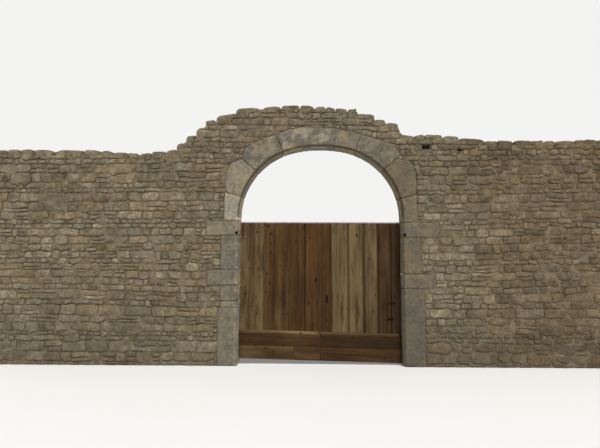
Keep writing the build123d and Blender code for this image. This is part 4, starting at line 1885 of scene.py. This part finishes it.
@dataclass(frozen=True)
class Softened:
    """A metal node with eased edges, cut fine enough along its length to bend a little."""

    node: str
    arris: float
    bend: float = 0.0
    pitch: float = 0.06
    arris_turn: float = 0.7
    stretch: Place = (1, 0.2, 0.2)
    sinking: tuple[float, int] = (9, 71)
    swaying: tuple[float, int] = (13, 72)
    sharp: float = 40

    def build(self, material: Material, slot: Slot, body: Body) -> None:
        """Makes the eased copy that stands for the node."""
        shape = welded(self.node, whole=True)
        shape.normal_update()
        ease(shape, self.arris, self.arris_turn)
        if self.bend:
            self._bend(shape)
        name = f"eased_{self.node}"
        mesh = smoothed(finished(shape, name), self.sharp)
        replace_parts(add_piece(name, mesh, material, body), self.node)

    def _bend(self, shape: BMesh) -> None:
        """Cuts the strip across and lets it rise and sink a little."""
        low, high = extent(shape)
        for cut in np.arange(low[0] + self.pitch, high[0] - self.pitch / 2, self.pitch):
            score(shape, Vector((cut, 0, 0)), Vector((1, 0, 0)))
        points = np.array([vertex.co for vertex in shape.verts]) * self.stretch
        sunk, out = lattice_noise(points, *self.sinking) - 1, lattice_noise(points, *self.swaying)
        for vertex, drop, shift in zip(shape.verts, sunk, out):
            vertex.co.z += float(drop) * self.bend
            vertex.co.y += float(shift) * self.bend


@dataclass(frozen=True)
class Leaf:
    """One leaf of the gate with its boards, ledges, braces, zinc strip and ironwork."""

    side: Side
    boards: tuple[BoardLook, ...]
    kicks: tuple[BoardLook, ...]
    knots: tuple[Place, ...]
    seed: int = 100
    cap_arris: float = 0.0008
    cap_bend: float = 0.0015
    strap_arris: float = 0.0012
    pintle_arris: float = 0.001
    nail: tuple[float, float, int] = (0.0042, 0.0018, 8)
    bolt: tuple[float, float, int] = (0.009, 0.006, 12)
    nail_spread: float = 0.29
    nail_step: float = 0.03
    kick_nail_gap: float = 0.3
    kick_nail_edge: float = 0.05
    kick_nail_rises: Span = (0.75, 0.25)
    bolt_step: float = 0.16
    bolt_edge: float = 0.04
    bolt_end: float = 1.2

    def build(self, wood: Material, iron: Material, zinc: Material) -> None:
        """Makes everything that swings on this side."""
        word, body, seed = self.side.word, self.side.body, self.seed + self.side.value
        joinery = Joinery(self.side, self.knots)
        joinery.build("boards", self.boards, wood, seed)
        joinery.build("kick_boards", self.kicks, wood, seed + 10)
        joinery.build("ledges", (BoardLook(0.35, 0.95),), wood, seed + 20)
        joinery.build("braces", (BoardLook(0.3, 0.9),), wood, seed + 30)
        Softened(f"cap_{word}", self.cap_arris, self.cap_bend).build(zinc, Slot.CAP, body)
        Softened(f"straps_{word}", self.strap_arris).build(iron, Slot.IRON, body)
        Softened(f"pintles_{word}", self.pintle_arris).build(iron, Slot.IRON, Body.GATEWAY)
        self._nails(iron)
        self._bolts(iron)

    def _nails(self, iron: Material) -> None:
        """Drives two nails through each board into each ledge, and a row along each kick board."""
        nails = Heads(*self.nail)
        ledges, boards, kicks = (
            [extent(solid) for solid in solids(f"{part}_{self.side.word}")]
            for part in ("ledges", "boards", "kick_boards")
        )
        kick_top = max(high[2] for _, high in kicks)
        spread, step = self.nail_spread, self.nail_step
        for (low, high), (ledge_low, ledge_high) in product(boards, ledges):
            level = (ledge_low[2] + ledge_high[2]) / 2
            if level > kick_top:
                for share, rise in ((-spread, step), (spread, -step)):
                    nails.add((low[0] + high[0]) / 2 + share * (high[0] - low[0]), low[1], level + rise, -1)
        for low, high in kicks:
            count = max(2, round((high[0] - low[0]) / self.kick_nail_gap))
            edge = self.kick_nail_edge
            for number, x in enumerate(np.linspace(low[0] + edge, high[0] - edge, count)):
                rise = self.kick_nail_rises[number % 2] * (high[2] - low[2])
                nails.add(float(x), low[1], float(low[2] + rise), -1)
        nails.build(f"nails_{self.side.word}", iron, self.side.body)

    def _bolts(self, iron: Material) -> None:
        """Sets bolt heads along the back of each strap."""
        bolts = Heads(*self.bolt)
        for solid in solids(f"straps_{self.side.word}"):
            low, high = extent(solid)
            flat = np.array([vertex.co for vertex in solid.verts if abs(vertex.co.x) < self.bolt_end])
            level = (flat[:, 2].min() + flat[:, 2].max()) / 2
            inner = min(abs(low[0]), abs(high[0])) + self.bolt_edge
            for away in np.arange(inner, self.bolt_end, self.bolt_step):
                bolts.add(self.side.value * float(away), flat[:, 1].max(), level, 1)
        bolts.build(f"bolts_{self.side.word}", iron, self.side.body)


@dataclass(frozen=True)
class Lock:
    """The rim lock on the back, its keeper, and the narrow plate on the front."""

    inset: float = 0.012
    arris: float = 0.0015
    screw: Span = (0.0045, 0.0015)
    hole: float = 0.0045
    hole_arc: tuple[float, float, int] = (-0.3, 1.3, 11)
    hole_rise: float = 0.006
    foot: Span = (0.004, 0.012)
    layers: Span = (-0.001, 0.0004)

    def build(self, iron: Material, hollow: Material) -> None:
        """Makes the lock's parts, their screws and the keyholes."""
        screws = {body: Heads(*self.screw) for body in (Body.LEFT, Body.RIGHT)}
        places = (("lock_case", Body.RIGHT, 1), ("lock_keeper", Body.LEFT, 1), ("lock_plate", Body.RIGHT, -1))
        for node, body, way in places:
            Softened(node, self.arris).build(iron, Slot.IRON, body)
            low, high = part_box(node)
            face, middle = high.y if way > 0 else low.y, (low + high) / 2
            columns = (middle.x,)
            if high.x - low.x > 3 * self.inset:
                columns = (low.x + self.inset, high.x - self.inset)
            for x, z in product(columns, (low.z + self.inset, high.z - self.inset)):
                screws[body].add(x, face, z, way)
            if node != "lock_keeper":
                self._keyhole(node, (middle.x, face, middle.z), way, hollow)
        for body, heads in screws.items():
            heads.build(f"screws_{body.value}", iron, body)

    def _keyhole(self, node: str, place: Place, way: int, hollow: Material) -> None:
        """Makes the keyhole as a thin sunk-looking block of painted shade, with a round head and a flared
        foot.
        """
        x, y, z = place
        first, last, count = self.hole_arc
        turn = np.linspace(first * math.pi, last * math.pi, count)
        outline = [(self.hole * math.cos(at), self.hole_rise + self.hole * math.sin(at)) for at in turn]
        half, drop = self.foot
        outline += [(-half, -drop), (half, -drop)]
        points = [(x - way * across, y + way * out, z + up) for out in self.layers for across, up in outline]
        name = f"keyhole_{node}"
        mesh = make_mesh(name, np.array(points), tube(len(outline), 2))
        add_piece(name, mesh, hollow, Body.RIGHT)


@dataclass(frozen=True)
class Staples:
    """Two iron staples across a split in the right leaf."""

    spots: tuple[tuple[float, float], ...] = ((1.234, 1.040), (1.205, 0.769))
    width: float = 0.09
    thick: float = 0.0085
    flat: float = 0.9
    proud: float = 0.01
    sunk: float = 0.006
    arris: float = 0.0008

    def build(self, iron: Material) -> None:
        """Bends each staple from a square rod and drives it in."""
        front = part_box("boards_right")[0].y
        t, half = self.thick, self.width / 2
        path = ((-half, self.sunk), (-half, -self.proud), (half, -self.proud), (half, self.sunk))
        miters = ((1, 0), (1, 1), (-1, 1), (-1, 0))
        square = ((-1, -1), (1, -1), (1, 1), (-1, 1))
        points = [
            (x + across + side * t * turn_x, front + deep + side * t * turn_y * self.flat, z + rise * t)
            for x, z in self.spots
            for (across, deep), (turn_x, turn_y) in zip(path, miters)
            for side, rise in square
        ]
        faces = repeated(tube(len(square), len(path)), len(self.spots), len(square) * len(path))
        mesh = make_mesh("staples", np.array(points), faces)
        shape = bmesh.new()
        shape.from_mesh(mesh)
        bmesh.ops.recalc_face_normals(shape, faces=shape.faces)
        bmesh.ops.bevel(
            shape, geom=shape.edges[:], offset=self.arris, segments=1, affect="EDGES", clamp_overlap=True
        )
        shape.to_mesh(mesh)
        shape.free()
        add_piece("staples", mesh, iron, Body.RIGHT)


@dataclass(frozen=True)
class Studio:
    """The camera at the photograph's viewpoint, a pale floor and plain soft light."""

    eye: Place = (-0.238, -8.312, 1.65)
    pitch: float = 5.135
    yaw: float = 0.789
    roll: float = 0.217
    lens: float = 28.72
    floor_half: float = 40.0
    lamps: tuple = (("key", 2.9, 12, (36, 0, 24)), ("fill", 0.6, 60, (72, 0, -50)))
    ambient: float = 0.5
    backdrop: tuple = tint(243, 243, 242)

    def build(self) -> None:
        """Makes the camera, the floor, the lamps and the world."""
        self._camera()
        self._floor()
        self._lamps()
        self._world()

    @staticmethod
    def _stand(name: str, data: bpy.types.ID) -> bpy.types.Object:
        """Puts a new object into the scene."""
        item = bpy.data.objects.new(name, data)
        bpy.context.scene.collection.objects.link(item)
        return item

    def _camera(self) -> None:
        """Stands the camera at eye height before the gate."""
        data = bpy.data.cameras.new("camera")
        data.lens = self.lens
        camera = self._stand("camera", data)
        yaw, pitch, roll = (
            Matrix.Rotation(math.radians(angle), 4, axis)
            for angle, axis in ((self.yaw, "Z"), (90 + self.pitch, "X"), (self.roll, "Z"))
        )
        camera.matrix_world = Matrix.Translation(self.eye) @ (yaw @ pitch) @ roll
        bpy.context.scene.camera = camera

    def _floor(self) -> None:
        """Lays a plain pale floor."""
        half = self.floor_half
        corners = np.array([(-half, -half, 0), (half, -half, 0), (half, half, 0), (-half, half, 0)])
        mesh = make_mesh("floor", corners, [np.array([[0, 1, 2, 3]])])
        mesh.materials.append(FloorFinish().material())
        self._stand("floor", mesh)

    def _lamps(self) -> None:
        """Hangs a soft sun at the upper right and a weaker one at the left."""
        for name, strength, angle, turn in self.lamps:
            lamp = bpy.data.lights.new(name, "SUN")
            lamp.energy = strength
            lamp.angle = math.radians(angle)
            self._stand(name, lamp).rotation_euler = [math.radians(value) for value in turn]

    def _world(self) -> None:
        """Lights from all round, with a pale background for the camera and for reflections."""
        world = bpy.data.worlds.new("studio")
        bpy.context.scene.world = world
        g = Graph(world, "Background")
        g.put(Color=self.backdrop)
        white = {"Color": (1.0, 1.0, 1.0, 1.0), "Strength": self.ambient}
        light = g.node("ShaderNodeBackground", None, white)
        rays = g.node("ShaderNodeLightPath").socket.node.outputs
        seen = Wire(g, rays["Is Camera Ray"])
        for kind in ("Is Glossy Ray", "Is Transmission Ray"):
            settings = {"operation": "ADD", "use_clamp": True}
            seen = g.node("ShaderNodeMath", settings, {0: seen, 1: Wire(g, rays[kind])})
        backdrop = Wire(g, g.shader.outputs[0])
        surface = g.node("ShaderNodeMixShader", None, {0: seen, 1: light, 2: backdrop})
        g.plug(g.tree.nodes["World Output"].inputs["Surface"], surface)
        bpy.context.scene.view_settings.view_transform = "Standard"


def board_looks(*pairs: tuple[float, float]) -> tuple[BoardLook, ...]:
    """Looks from pairs of greyness and brightness."""
    return tuple(BoardLook(*pair) for pair in pairs)


LEAVES = (
    Leaf(
        Side.LEFT,
        board_looks((0.68, 0.98), (0.7, 0.86), (0.14, 0.88), (0.2, 0.86), (0.12, 0.84), (0.0, 0.9)),
        board_looks((0.42, 0.9), (0.15, 0.78), (0.35, 0.9)),
        (
            (-0.913, 2.36, 0.016), (-0.859, 2.223, 0.014), (-0.858, 2.06, 0.012), (-0.856, 1.9, 0.014),
            (-0.922, 1.527, 0.012), (-0.868, 1.372, 0.013), (-0.3, 2.329, 0.012), (-0.421, 2.102, 0.013),
            (-0.178, 2.155, 0.012), (-0.072, 1.427, 0.022), (-1.069, 1.613, 0.012), (-1.104, 2.257, 0.012),
            (-0.941, 0.272, 0.013), (-0.804, 0.206, 0.012), (-1.097, 0.846, 0.01), (-1.108, 1.136, 0.009),
            (-1.226, 1.62, 0.009), (-0.623, 1.027, 0.012), (-0.559, 0.846, 0.01), (-0.198, 1.027, 0.012),
            (-0.04, 1.05, 0.01),
        ),
    ),
    Leaf(
        Side.RIGHT,
        board_looks(
            (0.25, 0.45), (0.25, 0.5), (0.3, 0.58), (0.85, 0.71), (0.95, 0.77), (1.0, 0.85), (0.0, 0.7)
        ),
        board_looks((0.25, 0.86), (0.1, 0.46)),
        ((0.632, 2.201, 0.014), (1.098, 0.118, 0.013), (0.555, 0.457, 0.014), (0.05, 1.257, 0.009)),
    ),
)


def main() -> None:
    """Builds the studio and every piece of the gateway."""
    logging.basicConfig(level=logging.INFO, format="%(name)s: %(message)s")
    Studio().build()
    kinds = (RubbleFinish, MortarFinish, LimestoneFinish, PlankFinish, IronFinish, HollowFinish, ZincFinish)
    rubble, mortar, limestone, wood, iron, hollow, zinc = (kind().material() for kind in kinds)
    Walling().build(rubble, mortar, list(STONE_LOOKS))
    ArchMasonry().build(limestone, mortar)
    for leaf in LEAVES:
        leaf.build(wood, iron, zinc)
    Lock().build(iron, hollow)
    Staples().build(iron)


if __name__ == "__main__":
    main()
